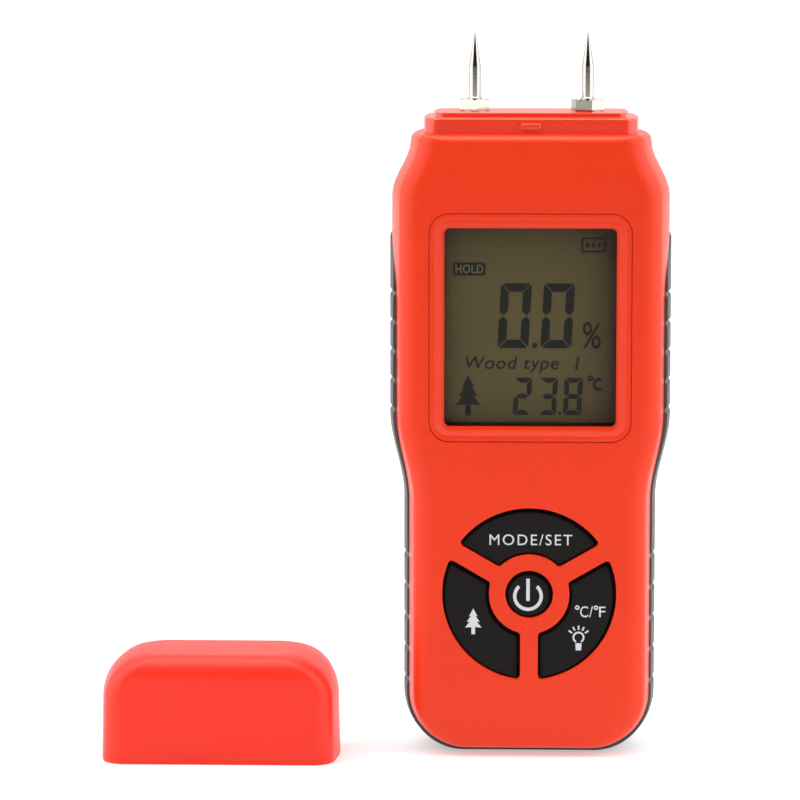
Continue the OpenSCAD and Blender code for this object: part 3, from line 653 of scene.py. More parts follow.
def key_shapes(s, gap):
    """The frames of the four key openings, or of the keys when a gap is left round them."""
    bar = s.spoke / 2 + gap
    ring = {name: sector_frame(s.ring_inner + gap, s.ring_radius - gap, bar, at, 0.5 if gap else 0.8)
            for name, at in KEY_ANGLES.items()}
    ring["key_power"] = round_frame(s.middle_radius - gap)
    return ring


# ---- Pieces ----

def bezel_place():
    """Width and height of the bezel, and the height of its middle."""
    low, high = BEZEL[0] * 1000, BEZEL[1] * 1000
    return high.x - low.x, high.z - low.z, (low.z + high.z) / 2


class METER_OT_case_front(bpy.types.Operator):
    """Moulds the front half of the case with its window and key openings"""
    bl_idname = "meter.case_front"
    bl_label = "Front half of the case"

    def execute(self, context):
        s = millimetres()
        depth, wall = s.half_depth, s.wall
        bm = case_half(s, -1, case_side(s, 1.6))
        for name, shape in key_shapes(s, 0.0).items():
            hole(bm, shape, 0.0, s.keypad_height, -1, depth, depth - wall, 0.32)
        w, h, z = bezel_place()
        gap, ledge, ledge_depth = 0.15, 0.9, 0.5
        outer = rect_frame(w + 2 * gap, h + 2 * gap, s.bezel_radius + gap)
        rings = [frame_ring(outer, 0.42, -depth, 0, z)]
        rings += rim(outer, 0.2, -depth, 1, 0, z)
        for grow, deep in ((0.0, ledge_depth), (-ledge, ledge_depth), (-ledge, wall)):
            rings.append(frame_ring(outer, grow, -depth + deep, 0, z))
        skin(bm, rings)
        fill_level(bm, 1, -depth)
        fill_level(bm, 1, -depth + wall)
        piece("case_front", bm, "case_red", "housing", ["front_shell"])
        return {"FINISHED"}


class METER_OT_case_back(bpy.types.Operator):
    """Moulds the back half of the case with its battery bay and screw recesses"""
    bl_idname = "meter.case_back"
    bl_label = "Back half of the case"

    def execute(self, context):
        s = millimetres()
        depth, wall = s.half_depth, s.wall
        bm = case_half(s, 1, case_side(s, 1.6))
        low, high = DOOR[0] * 1000, DOOR[1] * 1000
        gap = 0.25
        half_w, z0, z1 = high.x + gap, low.z + DOOR_HOOK - gap, high.z - DOOR_TONGUE + gap
        opening = notched_frame(half_w, z0, z1, 6.0, z1 + 5.25, 0.6)
        rings = [frame_ring(opening, 0.4, depth)] + rim(opening, 0.25, depth, -1)
        # The notch for the door's tongue is shallow, and only the plain opening goes on below it
        seat, notch_floor = depth - 1.95, depth - 0.9
        rings.append(frame_ring(opening, 0.0, notch_floor))
        for y in (notch_floor, seat):
            rings.append([Vector((p.x, y, min(p.z, z1))) for p in rings[-1]])
        skin(bm, rings)

        def pit(x, low_z, high_z, y0, y1):
            """The four walls of a straight pit between two depths."""
            shape = rect_frame(2 * x, high_z - low_z, 0.6, 4)
            skin(bm, [frame_ring(shape, 0.0, y, 0, (low_z + high_z) / 2) for y in (y0, y1)])

        bay_y, tray_wall = 0.6, 1.2
        pit(16.45, z0 + 4.95, z1 - 1.45, seat, bay_y)
        pit(half_w - 0.3, z0 + 0.3, z0 + 3.65, seat, depth - wall)
        pit(half_w + 0.95, z0 + 3.75, z1 + 0.95, depth - wall, bay_y - tray_wall)
        for level in (seat, bay_y, bay_y - tray_wall):
            fill_level(bm, 1, level)
        neck_x, neck_z = s.neck_width / 2 - 6.5, s.case_height - 11.5
        recess, boss_top = depth - 4.0, depth - 5.2
        boss = round_frame(2.6, 40)
        for x, z in ((-15, 7.5), (15, 7.5), (-neck_x, neck_z), (neck_x, neck_z)):
            hole(bm, round_frame(2.2, 40), x, z, 1, depth, recess, 0.25)
            skin(bm, [frame_ring(boss, 0.0, y, x, z) for y in (depth - wall, boss_top)])
        for level in (depth, depth - wall, recess, boss_top):
            fill_level(bm, 1, level)
        piece("case_back", bm, "case_red", "housing", ["rear_shell"])
        return {"FINISHED"}


class METER_OT_grip_band(bpy.types.Operator):
    """Lays the rubber grip band with its finger grooves round the case"""
    bl_idname = "meter.grip_band"
    bl_label = "Grip band"

    def execute(self, context):
        s = millimetres()
        top = s.waist_height + s.waist_run + 1.1
        finger_half, head_pitch, grip_pitch, lowest = 0.85, 6.0, 6.55, 15.0
        fingers = [top + head_pitch * i for i in range(5)] + [lowest + grip_pitch * i for i in range(5)]
        side = [p for p in case_side(s, 0.22) if p[1] < s.band_tip and p[0] > 0.0]
        tip = (half_width(s, s.band_tip), s.band_tip)
        path = [(-x, z) for x, z in [tip] + side[::-1]] + [(0.0, s.foot)] + side + [tip]
        rings = []
        crown = 0.75
        for x, z in path:
            w = band_half_at(s, z) - 0.35
            size = min(1.0, max(0.0, w) / 1.2)
            w = max(w, 0.0)
            near = min(abs(z - f) for f in fingers)
            dent = 0.0
            if near < finger_half:
                dent = s.finger_depth * 0.5 * (1 + math.cos(math.pi * near / finger_half))
            corner = min(0.3, w * 0.55)
            # From edge to edge: how far across, and the angle in its rounded corners
            across = [(-1, v) for v in arc(180, 90, 6)] + [(k / 4 - 1, math.pi / 2) for k in range(1, 8)]
            across += [(1, v) for v in arc(90, 0, 6)]
            ring = [drawn_in(s, x, z, s.band_depth, s.band_depth, 0.0, -w)]
            for u, v in across:
                drop = corner * (1 - math.sin(v))
                rise = (s.band_proud - crown * u * u - drop - dent) * size
                under = (s.foot - 0.02 - 0.1 * u * u - drop) * size
                p = drawn_in(s, x, z, -rise, -under, 0.0, u * (w - corner) + corner * math.cos(v))
                ring.append(Vector((p.x, p.y, max(p.z, 0.0))))
            ring.append(drawn_in(s, x, z, s.band_depth, s.band_depth, 0.0, w))
            rings.append(ring)
        bm = shell(rings)
        piece("grip_rubber", bm, "grip_rubber", "housing", ["grip_band"], sharp=40.0)
        return {"FINISHED"}


def plan(half_w, depth, radius, bulge, steps=8):
    """Plan of the step, the plateau and the cap: straight front and back, bulged ends, round corners."""
    ys = [depth - radius + radius * math.sin(a) for a in arc(90, 0, steps)]
    ys += [(depth - radius) * (1 - i / 6) for i in range(1, 7)]
    side = [-y for y in ys] + ys[-2::-1]
    right = [(half_w - bulge_at(bulge, y, depth) - edge_at(y, depth, radius), y) for y in side]
    return right + [(-x, y) for x, y in right[::-1]]


def plan_ring(points, z, x0=0.0, y0=0.0):
    return [Vector((x0 + x, y0 + y, z)) for x, y in points]


class METER_OT_probe_head(bpy.types.Operator):
    """Moulds the block that carries the two pins"""
    bl_idname = "meter.probe_head"
    bl_label = "Probe head"

    def execute(self, context):
        s = millimetres()
        half_w, depth = HEAD[1].x * 1000, HEAD[1].y * 1000
        top, shoulder = HEAD[1].z * 1000, s.case_height
        rise, r, q = top - 1.0, 0.5, 0.16
        corner, bulge = s.step_corner, s.step_bulge

        def ring(inset, z, radius=corner):
            return plan_ring(plan(half_w - inset, depth - inset, radius, bulge), z)

        rings = [plan_ring(plan(half_w - 3.2, depth - 4.8, 1.6, bulge), z)
                 for z in (HEAD[0].z * 1000 + 0.1, shoulder - 0.2)]
        rings.append(ring(0.0, shoulder - 0.2))
        for a in arc(0, 90, 6):
            rings.append(ring(r * (1 - math.cos(a)), rise - r + r * math.sin(a)))
        for inset, z in ((1.75, 0.0), (1.95, 0.02), (2.03, 0.1), (2.08, 0.4)):
            rings.append(ring(inset, rise + z, corner - 0.8))
        for a in arc(0, 90, 5):
            rings.append(ring(2.08 + q * (1 - math.cos(a)), top - q + q * math.sin(a), corner - 0.8))
        rings.append(ring(2.8, top, corner - 0.8))
        bm = shell(rings)
        fill_level(bm, 2, top)
        fill_level(bm, 2, HEAD[0].z * 1000 + 0.1)
        piece("head_block", bm, "head_red", "housing", ["probe_head"], sharp=50.0)
        bm = bmesh.new()
        bump = Vector((4.1, 1.3, 1.4))
        block(bm, bump, (0.0, -depth - 0.5 + bump.y / 2, shoulder + 1.5))
        soften(bm, 0.35, 4)
        piece("snap_bump", bm, "head_red", "housing")
        return {"FINISHED"}


class METER_OT_bezel(bpy.types.Operator):
    """Moulds the frame round the window"""
    bl_idname = "meter.bezel"
    bl_label = "Window frame"

    def execute(self, context):
        s = millimetres()
        depth = s.half_depth
        w, h, z = bezel_place()
        border = (w - s.window_width) / 2
        back = BEZEL[1].y * 1000
        seat = -depth + 1.6

        corner, fillet = s.bezel_radius, 0.25

        def ring(inset, y, radius=None):
            shape = rect_frame(w - 2 * inset, h - 2 * inset, radius or corner - inset)
            return frame_ring(shape, 0.0, y, 0, z)

        rings = [ring(0.9, back), ring(0.9, -depth + 0.42), ring(0.0, -depth + 0.42)]
        rings += [ring(fillet * (1 - math.sin(a)), -depth + fillet * (1 - math.cos(a))) for a in arc(90, 0, 5)]
        rings += [ring(0.5, -depth), ring(0.95, -depth)]
        # A dished slope from the flat rim down to the window
        start = 1.05
        for t in [i / 8 for i in range(9)]:
            drop = 0.05 + 1.35 * math.sin(t * math.pi / 2) ** 1.15
            rings.append(ring(start + (border - start) * t, -depth + drop, corner - start - 1.75 * t))
        inner = border - 1.3
        rings += [ring(border, seat, 1.2), ring(inner, seat, 1.5), ring(inner, back, 1.5), rings[0]]
        bm = shell(rings)
        piece("window_frame", bm, "case_red", "housing", ["lens_bezel"], sharp=40.0)
        return {"FINISHED"}


SEGMENTS = {"0": "abcdef", "2": "abged", "3": "abgcd", "8": "abcdefg"}


class Print:
    """A layer of flat marks in the front view, which stand forwards of the plane y by a thickness."""

    def __init__(self, y, thickness):
        self.bm = bmesh.new()
        self.y = y
        self.thickness = thickness

    def plate(self, points, raised=1.0):
        """A flat plate with this outline."""
        face = self.bm.faces.new([self.bm.verts.new((x, self.y, z)) for x, z in points])
        grown = bmesh.ops.extrude_face_region(self.bm, geom=[face])["geom"]
        front = [g for g in grown if isinstance(g, bmesh.types.BMVert)]
        bmesh.ops.translate(self.bm, vec=(0, -self.thickness * raised, 0), verts=front)

    def stroke(self, a, b, width, point=0.5):
        """A straight bar from a to b whose ends come to a blunt point."""
        a, b = Vector(a), Vector(b)
        along = (b - a).normalized()
        side = Vector((-along.y, along.x)) * width / 2
        tip = along * width * point
        self.plate([a, a + tip + side, b - tip + side, b, b - tip - side, a + tip - side])

    def bow(self, x, z, radius, width, start=0, stop=360, steps=24, tall=1.0):
        """A curved bar round (x, z), closed on itself when it goes all the way round."""
        outside, inside, front = radius + width / 2, radius - width / 2, self.y - self.thickness
        section = ((outside, self.y), (outside, front), (inside, front), (inside, self.y))
        rings = [[Vector((x + r * math.cos(a), q, z + tall * r * math.sin(a))) for r, q in section]
                 for a in arc(start, stop, steps)]
        before = set(self.bm.edges)
        skin(self.bm, rings)
        ends = [e for e in self.bm.edges if e not in before and e.is_boundary]
        if ends:
            bmesh.ops.holes_fill(self.bm, edges=ends, sides=4)

    def disc(self, x, z, radius):
        self.plate([(x + radius * math.cos(a), z + radius * math.sin(a)) for a in arc(0, 360, 24)[:-1]])

    def words(self, text, width, height, x, z, slant=0.0, spacing=1.08, bold=0.0):
        """Raised lettering that fills a box of this width and height, whose lower left corner is (x, z)."""
        curve = bpy.data.curves.new("words", "FONT")
        curve.body = text
        curve.extrude = self.thickness / 2
        curve.offset = bold
        curve.resolution_u = 4
        curve.shear = slant
        curve.space_character = spacing
        holder = bpy.data.objects.new("words", curve)
        bpy.context.scene.collection.objects.link(holder)
        mesh = bpy.data.meshes.new_from_object(holder.evaluated_get(bpy.context.evaluated_depsgraph_get()))
        bpy.data.objects.remove(holder)
        bpy.data.curves.remove(curve)
        xs, ys = [v.co.x for v in mesh.vertices], [v.co.y for v in mesh.vertices]
        x_scale, z_scale = width / (max(xs) - min(xs)), height / (max(ys) - min(ys))
        for v in mesh.vertices:
            v.co = (x + (v.co.x - min(xs)) * x_scale, self.y - self.thickness / 2 - v.co.z,
                    z + (v.co.y - min(ys)) * z_scale)
        self.bm.from_mesh(mesh)
        bpy.data.meshes.remove(mesh)

    def digit(self, figure, x, z, w, h, bar):
        """A leaning seven-segment figure with mitred corners; (x, z) is the lower left corner of its box."""
        lean, gap, clip = 0.055, 0.12, 0.32 * bar
        w -= lean * h
        far, point = (clip + gap) / 2, 0.45 * bar
        side = [(0, h / 2 - clip), (far - gap, h / 2 - far), (bar, h / 2 - bar - gap), (bar, bar / 2 + gap),
                (point, gap), (0, point + gap)]
        end = [(clip, h / 2), (far, h / 2 - far + gap), (bar + gap, h / 2 - bar)]

        def flipped(points, across, down):
            return [(w - u if across else u, -v if down else v) for u, v in points]

        level = end + flipped(end[::-1], True, False)
        middle = [(point + gap, 0), (bar + gap, bar / 2)]
        middle += flipped(middle[::-1], True, False)
        shapes = {
            "a": level, "b": flipped(side, True, False), "c": flipped(side, True, True),
            "d": flipped(level, False, True), "e": flipped(side, False, True), "f": side,
            "g": middle + flipped(middle[2:0:-1], False, True),
        }
        for name in SEGMENTS[figure]:
            self.plate([(x + u + lean * (v + h / 2), z + v + h / 2) for u, v in shapes[name]])

    def tree(self, x, z, w, h):
        """A fir of three tiers on its trunk, standing at (x, z)."""
        for low, half, high in ((0.26, 0.5, 0.66), (0.48, 0.39, 0.84), (0.7, 0.25, 1.0)):
            foot, half_w = z + low * h, half * w
            tier = [(x - half_w, foot), (x, foot + 0.02 * h), (x + half_w, foot), (x, z + high * h)]
            self.plate(tier, 1 + low / 5)
        trunk, top = 0.11 * w, z + 0.32 * h
        self.plate([(x - trunk, z), (x + trunk, z), (x + trunk, top), (x - trunk, top)], 0.95)

    def done(self, name, slot, body):
        piece(name, self.bm, slot, body)


class METER_OT_display(bpy.types.Operator):
    """Sets the figures and signs on the display"""
    bl_idname = "meter.display"
    bl_label = "Figures and signs on the display"

    def execute(self, context):
        m = bezel_place()[2]
        y, t = LCD[0].y * 1000 - 0.01, 0.02
        figures = Print(y, t)
        for x in (-6.75, 2.05):
            figures.digit("0", x, m - 4.4, 7.1, 13.35, 1.75)
        figures.disc(0.92, m - 3.8, 0.57)
        for figure, x, w in (("2", -3.6, 4.05), ("3", 1.75, 4.0), ("8", 6.7, 4.2)):
            figures.digit(figure, x, m - 18.2, w, 7.7, 1.02)
        figures.disc(6.1, m - 17.85, 0.33)
        figures.done("display_figures", "segment", "housing")
        signs = Print(y, t)
        # Percent sign
        signs.bow(11.7, m - 0.35, 0.72, 0.46, tall=1.5)
        signs.bow(13.5, m - 3.1, 0.72, 0.46, tall=1.5)
        signs.stroke((11.1, m - 4.4), (14.1, m + 0.9), 0.46, 0.1)
        # Degrees
        signs.bow(12.38, m - 10.6, 0.42, 0.4)
        signs.bow(14.0, m - 11.85, 0.88, 0.52, 46, 314, tall=1.2)
        # Battery with three bars
        for x0, z0, x1, z1 in ((10.4, 18.2, 15.2, 18.2), (10.4, 15.5, 15.2, 15.5), (10.55, 15.4, 10.55, 18.3),
                               (15.1, 15.4, 15.1, 18.3), (15.55, 16.3, 15.55, 17.4)):
            signs.stroke((x0, m + z0), (x1, m + z1), 0.4, 0.0)
        for x in (11.65, 12.85, 14.05):
            signs.stroke((x, m + 16.35), (x, m + 17.35), 0.66, 0.0)
        signs.tree(-12.7, m - 18.4, 5.1, 8.4)
        signs.words("Wood type", 19.2, 3.5, -13.3, m - 9.6, 0.18, bold=0.006)
        signs.stroke((9.45, m - 8.95), (9.85, m - 6.1), 0.5, 0.2)
        signs.done("display_signs", "segment", "housing")
        label = Print(y, t)
        outline = frame_ring(rect_frame(6.6, 2.7, 0.4, 4), 0.0, y, -12.5, m + 11.85)
        label.plate([(p.x, p.z) for p in outline])
        label.done("display_label", "segment", "housing")
        word = Print(y - t, t)
        word.words("HOLD", 5.7, 1.8, -15.35, m + 10.95, bold=0.02)
        word.done("display_label_word", "sign_light", "housing")
        return {"FINISHED"}


class METER_OT_keys(bpy.types.Operator):
    """Moulds the four rubber keys"""
    bl_idname = "meter.keys"
    bl_label = "Keys"

    def execute(self, context):
        s = millimetres()
        top = -s.half_depth + s.key_recess
        x0, z0 = -0.1, s.keypad_height - 0.25
        flange, flange_back = -s.half_depth + s.wall + 0.1, -s.half_depth + s.wall + 1.3
        stem = round_frame(2.6, 32)
        fillet, spread, sink = 0.28, 0.75, 0.05
        for name, shape in key_shapes(s, s.key_gap).items():
            back = KEYS[name][1].y * 1000 - sink
            rings = [frame_ring(shape, -0.6, top, x0, z0)] + rim(shape, -fillet, top, 1, x0, z0, 5)
            for grow, y in ((0.0, flange), (spread, flange), (spread, flange_back)):
                rings.append(frame_ring(shape, grow, y, x0, z0))
            bm = shell(rings)
            reach = (s.ring_radius + s.ring_inner) / 2 if name in KEY_ANGLES else 0.0
            angle = math.radians(KEY_ANGLES.get(name, 0))
            place = (x0 + reach * math.cos(angle), z0 + reach * math.sin(angle))
            stem_start = flange_back - 0.2
            skin(bm, [frame_ring(stem, -sink, stem_start, *place), frame_ring(stem, 0.0, back, *place)])
            for level in (top, flange_back, stem_start, back):
                fill_level(bm, 1, level)
            piece(name + "_cap", bm, "key_rubber", name.removeprefix("key_") + "_key", [name])
        return {"FINISHED"}


class METER_OT_key_marks(bpy.types.Operator):
    """Prints the marks on the keys"""
    bl_idname = "meter.key_marks"
    bl_label = "Marks on the keys"

    def execute(self, context):
        s = millimetres()
        y, t, z = -s.half_depth + s.key_recess - 0.005, 0.03, s.keypad_height
        mark = Print(y, t)
        mark.stroke((-0.24, z - 1.45), (-0.24, z + 3.25), 0.72, 0.08)
        mark.bow(-0.24, z - 0.43, 2.73, 0.7, 90 + 42, 450 - 42, 40)
        mark.done("mark_power", "key_mark", "power_key")
        mark = Print(y, t)
        mark.words("MODE/SET", 17.0, 2.25, -8.2, z + 10.2, spacing=1.2)
        mark.done("mark_mode", "key_mark", "mode_key")
        mark = Print(y, t)
        mark.tree(-11.5, z - 8.45, 3.4, 5.4)
        mark.done("mark_tree", "key_mark", "species_key")
        mark = Print(y, t)
        mark.bow(9.9, z - 2.75, 0.34, 0.26)
        mark.words("C/", 2.6, 2.3, 10.5, z - 4.76)
        mark.bow(13.75, z - 2.75, 0.34, 0.26)
        mark.words("F", 1.3, 2.2, 14.4, z - 4.72)
        # Lamp with five rays
        x, z = 10.2, z - 9.0
        mark.bow(x, z, 1.05, 0.36, -60, 240)
        mark.plate([(x - 0.55, z - 2.7), (x + 0.55, z - 2.7), (x + 0.65, z - 1.2), (x - 0.65, z - 1.2)])
        for a in arc(35, 145, 4):
            c, n = math.cos(a), math.sin(a)
            mark.stroke((x + 1.6 * c, z + 1.6 * n), (x + 2.5 * c, z + 2.5 * n), 0.34, 0.1)
        mark.done("mark_units", "key_mark", "units_key")
        return {"FINISHED"}


class METER_OT_probes(bpy.types.Operator):
    """Turns the two pins and cuts their nuts"""
    bl_idname = "meter.probes"
    bl_label = "Pins and nuts"

    def execute(self, context):
        s = millimetres()
        for side, nut, pin, turn in (("left", NUTS[0], PINS[0], 30), ("right", NUTS[1], PINS[1], 45)):
            x = (pin[0].x + pin[1].x) * 500
            z0, z1, tip = nut[0].z * 1000, nut[1].z * 1000, pin[1].z * 1000
            flat = s.nut_flats / 2
            angles = arc(turn, turn + 360, 96)[:-1]
            rings = []
            for z in [z0, z0 + 0.12, z0 + 0.3, z0 + 0.5, z1 - 0.5, z1 - 0.3, z1 - 0.12, z1]:
                cone = flat + 0.1 + min(z - z0, z1 - z) * 3.2
                ring = []
                for a in angles:
                    away = (math.degrees(a) - turn) % 60 - 30
                    r = min(flat / math.cos(math.radians(away)), cone)
                    ring.append(Vector((x + r * math.cos(a), r * math.sin(a), z)))
                rings.append(ring)
            for z, r in ((z1, 1.62), (z1 - 0.4, 1.4), (z0, 1.4)):
                rings.append([Vector((x + r * math.cos(a), r * math.sin(a), z)) for a in angles])
            rings.append(rings[0])
            bm = shell(rings)
            piece("nut_" + side, bm, "nut_nickel", "housing", ["probe_nut_" + side], sharp=20.0)
            shoulder = z1 + s.pin_straight
            r, foot, taper = s.pin_radius, z0 - 8.0, shoulder + 0.9
            profile = [(0.0, foot), (1.3, foot), (1.38, foot + 0.1), (1.38, z1 + 0.25), (1.2, z1 + 0.45),
                       (r, z1 + 0.5), (r, shoulder - 0.3), (r - 0.02, shoulder), (r * 0.86, taper)]
            for t in [i / 8 for i in range(1, 9)]:
                profile.append((r * 0.86 * (1 - t) + 0.16 * t, taper + (tip - 0.12 - taper) * t))
            profile += [(0.1, tip - 0.03), (0.0, tip)]
            bm = bmesh.new()
            verts = [bm.verts.new((x + q, 0.0, z)) for q, z in profile]
            edges = [bm.edges.new(pair) for pair in zip(verts, verts[1:])]
            bmesh.ops.spin(bm, geom=verts + edges, cent=(x, 0, 0), axis=(0, 0, 1), angle=math.tau, steps=64,
                           use_merge=True)
            piece("pin_" + side, bm, "pin_steel", "housing", ["probe_pin_" + side])
        return {"FINISHED"}


class METER_OT_battery_door(bpy.types.Operator):
    """Moulds the battery door with its thumb ridges"""
    bl_idname = "meter.battery_door"
    bl_label = "Battery door"

    def execute(self, context):
        low, high = DOOR[0] * 1000, DOOR[1] * 1000
        w, z0, z1 = high.x - low.x, low.z + DOOR_HOOK, high.z - DOOR_TONGUE
        y1 = high.y
        y0 = y1 - 1.8
        shape = rect_frame(w, z1 - z0, 0.5, 4)
        middle = (z0 + z1) / 2
        rings = [frame_ring(shape, -0.2, y0, 0, middle), frame_ring(shape, 0.0, y0 + 0.2, 0, middle)]
        rings += rim(shape, -0.3, y1, -1, 0, middle)[::-1]
        rings.append(frame_ring(shape, -0.42, y1, 0, middle))
        bm = shell(rings)
        # Dished thumb rest near the top, filled with ridges
        rest = rect_frame(14.0, 8.6, 3.0, 8)
        rest_z = z1 - 9.0
        dish = [frame_ring(rest, 0.5, y1, 0, rest_z)] + rim(rest, 0.35, y1, -1, 0, rest_z)
        dish += [frame_ring(rest, 0.0, y1 - 0.6, 0, rest_z), frame_ring(rest, -0.4, y1 - 0.75, 0, rest_z)]
        skin(bm, dish)
        for level in (y0, y1, y1 - 0.75):
            fill_level(bm, 1, level)
        piece("battery_door_panel", bm, "case_red", "door", ["battery_door"])
        bm = bmesh.new()
        for i in range(4):
            block(bm, (10.0, 0.9, 0.8), (0, y1 - 0.5, rest_z - 2.7 + 1.8 * i))
        soften(bm, 0.25, 3)
        piece("door_ridges", bm, "case_red", "door")
        bm = bmesh.new()
        # The tongue at the top, then two hooks at the bottom with the feet that join them to the panel
        catches = [(0, 10.0, z1 - 1.0, z1 + DOOR_TONGUE, y1 - 0.8, y1 - 0.02)]
        for x in (-8, 8):
            catches.append((x, 5.0, low.z + 0.05, low.z + 4.3, y0 - 1.2, y0 - 0.6))
            catches.append((x, 5.0, z0 + 0.3, z0 + 1.1, y0 - 1.2, y0 + 0.3))
        for x, wide, bottom, up, near, far in catches:
            block(bm, (wide, far - near, up - bottom), (x, (far + near) / 2, (bottom + up) / 2))
        soften(bm, 0.12, 2)
        piece("door_catches", bm, "case_red", "door")
        return {"FINISHED"}


class METER_OT_cap(bpy.types.Operator):
    """Moulds the cap that covers the pins, standing beside the meter"""
    bl_idname = "meter.cap"
    bl_label = "Pin cap"

    def execute(self, context):
        s = millimetres()
        low, high = CAP[0] * 1000, CAP[1] * 1000
        x0, y0 = (low.x + high.x) / 2, (low.y + high.y) / 2
        half_w, depth, top = (high.x - low.x) / 2, (high.y - low.y) / 2, high.z
        radius, bulge, draft = s.cap_side, s.cap_bulge, 0.25

        def rings(inset, lip, roof):
            """One skin of the cap from its rim up to its roof."""
            corner, edge = s.cap_corner - inset, s.cap_edge - inset

            def ring(in_x, in_y, z):
                shape = plan(half_w - inset - in_x, depth - inset - in_y, radius, bulge, 10)
                return plan_ring(shape, z, x0, y0)

            out = []
            for a in arc(0, 90, 4) if lip else [0.0]:
                q = lip * (1 - math.sin(a))
                out.append(ring(q, q, lip * (1 - math.cos(a))))
            for z in (4.0, 8.0, roof - corner):
                q = draft * z / (roof - corner)
                out.append(ring(q, q, z))
            for a in arc(0, 90, 22)[1:]:
                z = roof - corner + corner * math.sin(a)
                out.append(ring(draft + corner * (1 - math.cos(a)), draft + edge_at(z, roof, edge), z))
            return out

        bm = bmesh.new()
        skin(bm, rings(s.cap_wall, 0.0, top - s.cap_wall)[::-1] + rings(0.0, 0.3, top))
        fill_level(bm, 2, top)
        fill_level(bm, 2, top - s.cap_wall)
        piece("cap_shell", bm, "cap_red", "pin_cap", ["cap"])
        return {"FINISHED"}


INNER_PARTS = {
    "brass": ("probe_insert_left", "probe_insert_right", "solder_tag_left", "solder_tag_right",
              "key_contacts"),
    "wire_light": ("probe_lead_left", "probe_lead_right"),
    "window_clear": ("lcd_lens",),
    "lcd_glass": ("lcd_panel",),
    "white_plastic": ("lcd_light_guide", "backlight_leds"),
    "mat_rubber": ("keypad_mat", "zebra_strip"),
    "board_green": ("main_board",),
    "carbon": ("pill_power", "pill_mode", "pill_species", "pill_units"),
    "black_plastic": ("lcd_holder", "processor", "amplifier", "buzzer", "thermistor"),
    "can_metal": ("crystal", "capacitor", "chip_parts", "battery_contacts", "battery_springs",
                  "case_screws", "board_screws"),
    "cell_jacket": ("battery_cell_1", "battery_cell_2", "battery_cell_3"),
    "wire_red": ("battery_lead_red",),
    "wire_black": ("battery_lead_black",),
    "foam": ("door_foam",),
}


class METER_OT_inner_parts(bpy.types.Operator):
    """Gives the parts inside the case their finishes"""
    bl_idname = "meter.inner_parts"
    bl_label = "Finishes of the inner parts"

    def execute(self, context):
        for slot, names in INNER_PARTS.items():
            for name in names:
                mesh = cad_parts[name].data
                mesh.materials.clear()
                mesh.materials.append(finish(slot))
        return {"FINISHED"}


# ---- Stage ----

def softbox(name, place, wide, high, power):
    """A soft rectangular light at a place, turned to the middle of the meter."""
    light = bpy.data.lights.new(name, "AREA")
    light.shape = "RECTANGLE"
    light.size = wide
    light.size_y = high
    light.energy = power
    lamp = bpy.data.objects.new(name, light)
    lamp.location = place
    lamp.rotation_euler = (Vector((0.0, 0.0, 0.08)) - Vector(place)).to_track_quat("-Z", "Y").to_euler()
    lamp.visible_camera = False
    bpy.context.scene.collection.objects.link(lamp)


def studio_world():
    """Pale surroundings that fall off to a dark room in front, seen by the camera as plain light grey."""
    world = bpy.data.worlds.new("studio")
    world.use_nodes = True
    nodes = Nodes(world.node_tree, "Generated")
    ahead = nodes.axes()[1] * 0.5 + 0.5
    stops = [(position, (level, level, level))
             for position, level in ((0.02, 0.02), (0.35, 0.2), (0.6, 0.4), (0.95, 1.0))]
    fade = nodes.node("ShaderNodeValToRGB", {"stops": stops}, {0: ahead})
    seen = nodes.node("ShaderNodeLightPath").outputs["Is Camera Ray"]
    backdrop = nodes.mix(seen, fade.outputs[0], (0.93, 0.93, 0.93))
    nodes.fill(world.node_tree.nodes["Background"].inputs["Color"], backdrop)
    return world


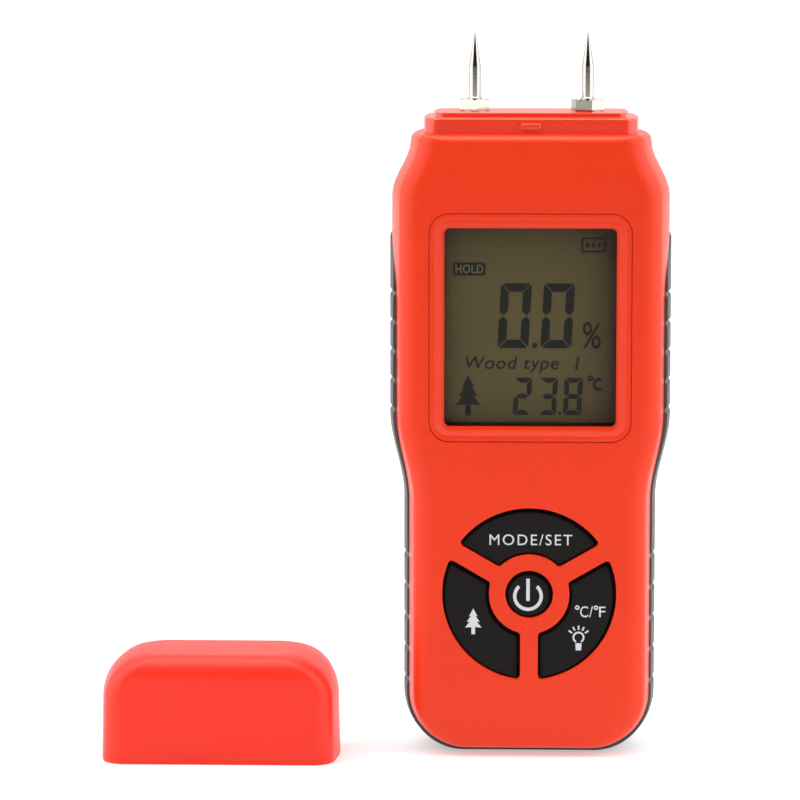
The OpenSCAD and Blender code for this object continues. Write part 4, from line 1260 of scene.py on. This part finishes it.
class METER_OT_stage(bpy.types.Operator):
    """Sets the floor, the soft lights and the camera"""
    bl_idname = "meter.stage"
    bl_label = "Stage"

    def execute(self, context):
        scene = context.scene
        c = scene.meter_colours
        bm = bmesh.new()
        bmesh.ops.create_grid(bm, x_segments=1, y_segments=1, size=6000.0)
        bmesh.ops.translate(bm, vec=(0, 0, -0.02), verts=bm.verts)
        bmesh.ops.scale(bm, vec=(0.001, 0.001, 0.001), verts=bm.verts)
        mesh = bpy.data.meshes.new("floor")
        bm.to_mesh(mesh)
        bm.free()
        floor = bpy.data.objects.new("floor", mesh)
        scene.collection.objects.link(floor)
        f = Finish("floor", roughness=0.8, specular_ior_level=0.1)
        f.set("Base Color", f.mix(f.noise(3.0), shade(c.floor, 0.99), shade(c.floor, 1.01)))
        # The floor glows under and behind the meter, as on a light table, and again far in front of it
        y = f.axes()[1]
        glow = ((y + 0.34) / 0.28).clamped()
        far = ((y - 0.1) / 0.9).clamped()
        ahead = ((-1.1 - y) / 0.5).clamped()
        black, white = (0.0, 0.0, 0.0), (1.0, 1.0, 1.0)
        f.lit(f.mix(0.5 * glow + 0.5 * far + 0.9 * ahead, black, white), 0.85)
        mesh.materials.append(f.material)

        scene.world = studio_world()
        for name, x in (("left_softbox", -0.8), ("right_softbox", 0.8)):
            softbox(name, (x, -0.16, 0.4), 1.1, 1.5, 11.5)
        softbox("top_softbox", (0.0, 0.05, 0.8), 0.9, 0.6, 6.0)
        scene.view_settings.view_transform = "Standard"

        camera = bpy.data.cameras.new("camera")
        camera.lens = 185.6
        camera.sensor_width = 36.0
        camera.clip_end = 50.0
        holder = bpy.data.objects.new("camera", camera)
        holder.location = (0.00087, -0.85, 0.18465)
        holder.rotation_euler = (math.radians(82.5), 0.0, math.radians(1.88))
        scene.collection.objects.link(holder)
        scene.camera = holder
        return {"FINISHED"}


class METER_PT_panel(bpy.types.Panel):
    """Lists the pieces of the meter in the order in which they are made"""
    bl_idname = "METER_PT_panel"
    bl_label = "Moisture Meter"
    bl_space_type = "VIEW_3D"
    bl_region_type = "UI"
    bl_category = "Meter"

    def draw(self, context):
        for operator in PIECES:
            self.layout.operator(operator.bl_idname)


PIECES = (
    METER_OT_case_front, METER_OT_case_back, METER_OT_grip_band, METER_OT_probe_head, METER_OT_bezel,
    METER_OT_display, METER_OT_keys, METER_OT_key_marks, METER_OT_probes, METER_OT_battery_door, METER_OT_cap,
    METER_OT_inner_parts, METER_OT_stage,
)
CLASSES = (MeterSizes, MeterColours, *PIECES, METER_PT_panel)


def register():
    for cls in CLASSES:
        bpy.utils.register_class(cls)
    bpy.types.Scene.meter_sizes = PointerProperty(type=MeterSizes)
    bpy.types.Scene.meter_colours = PointerProperty(type=MeterColours)


def unregister():
    del bpy.types.Scene.meter_colours
    del bpy.types.Scene.meter_sizes
    for cls in reversed(CLASSES):
        bpy.utils.unregister_class(cls)


def main():
    register()
    for operator in PIECES:
        group, name = operator.bl_idname.split(".")
        getattr(getattr(bpy.ops, group), name)()


if __name__ == "__main__":
    main()
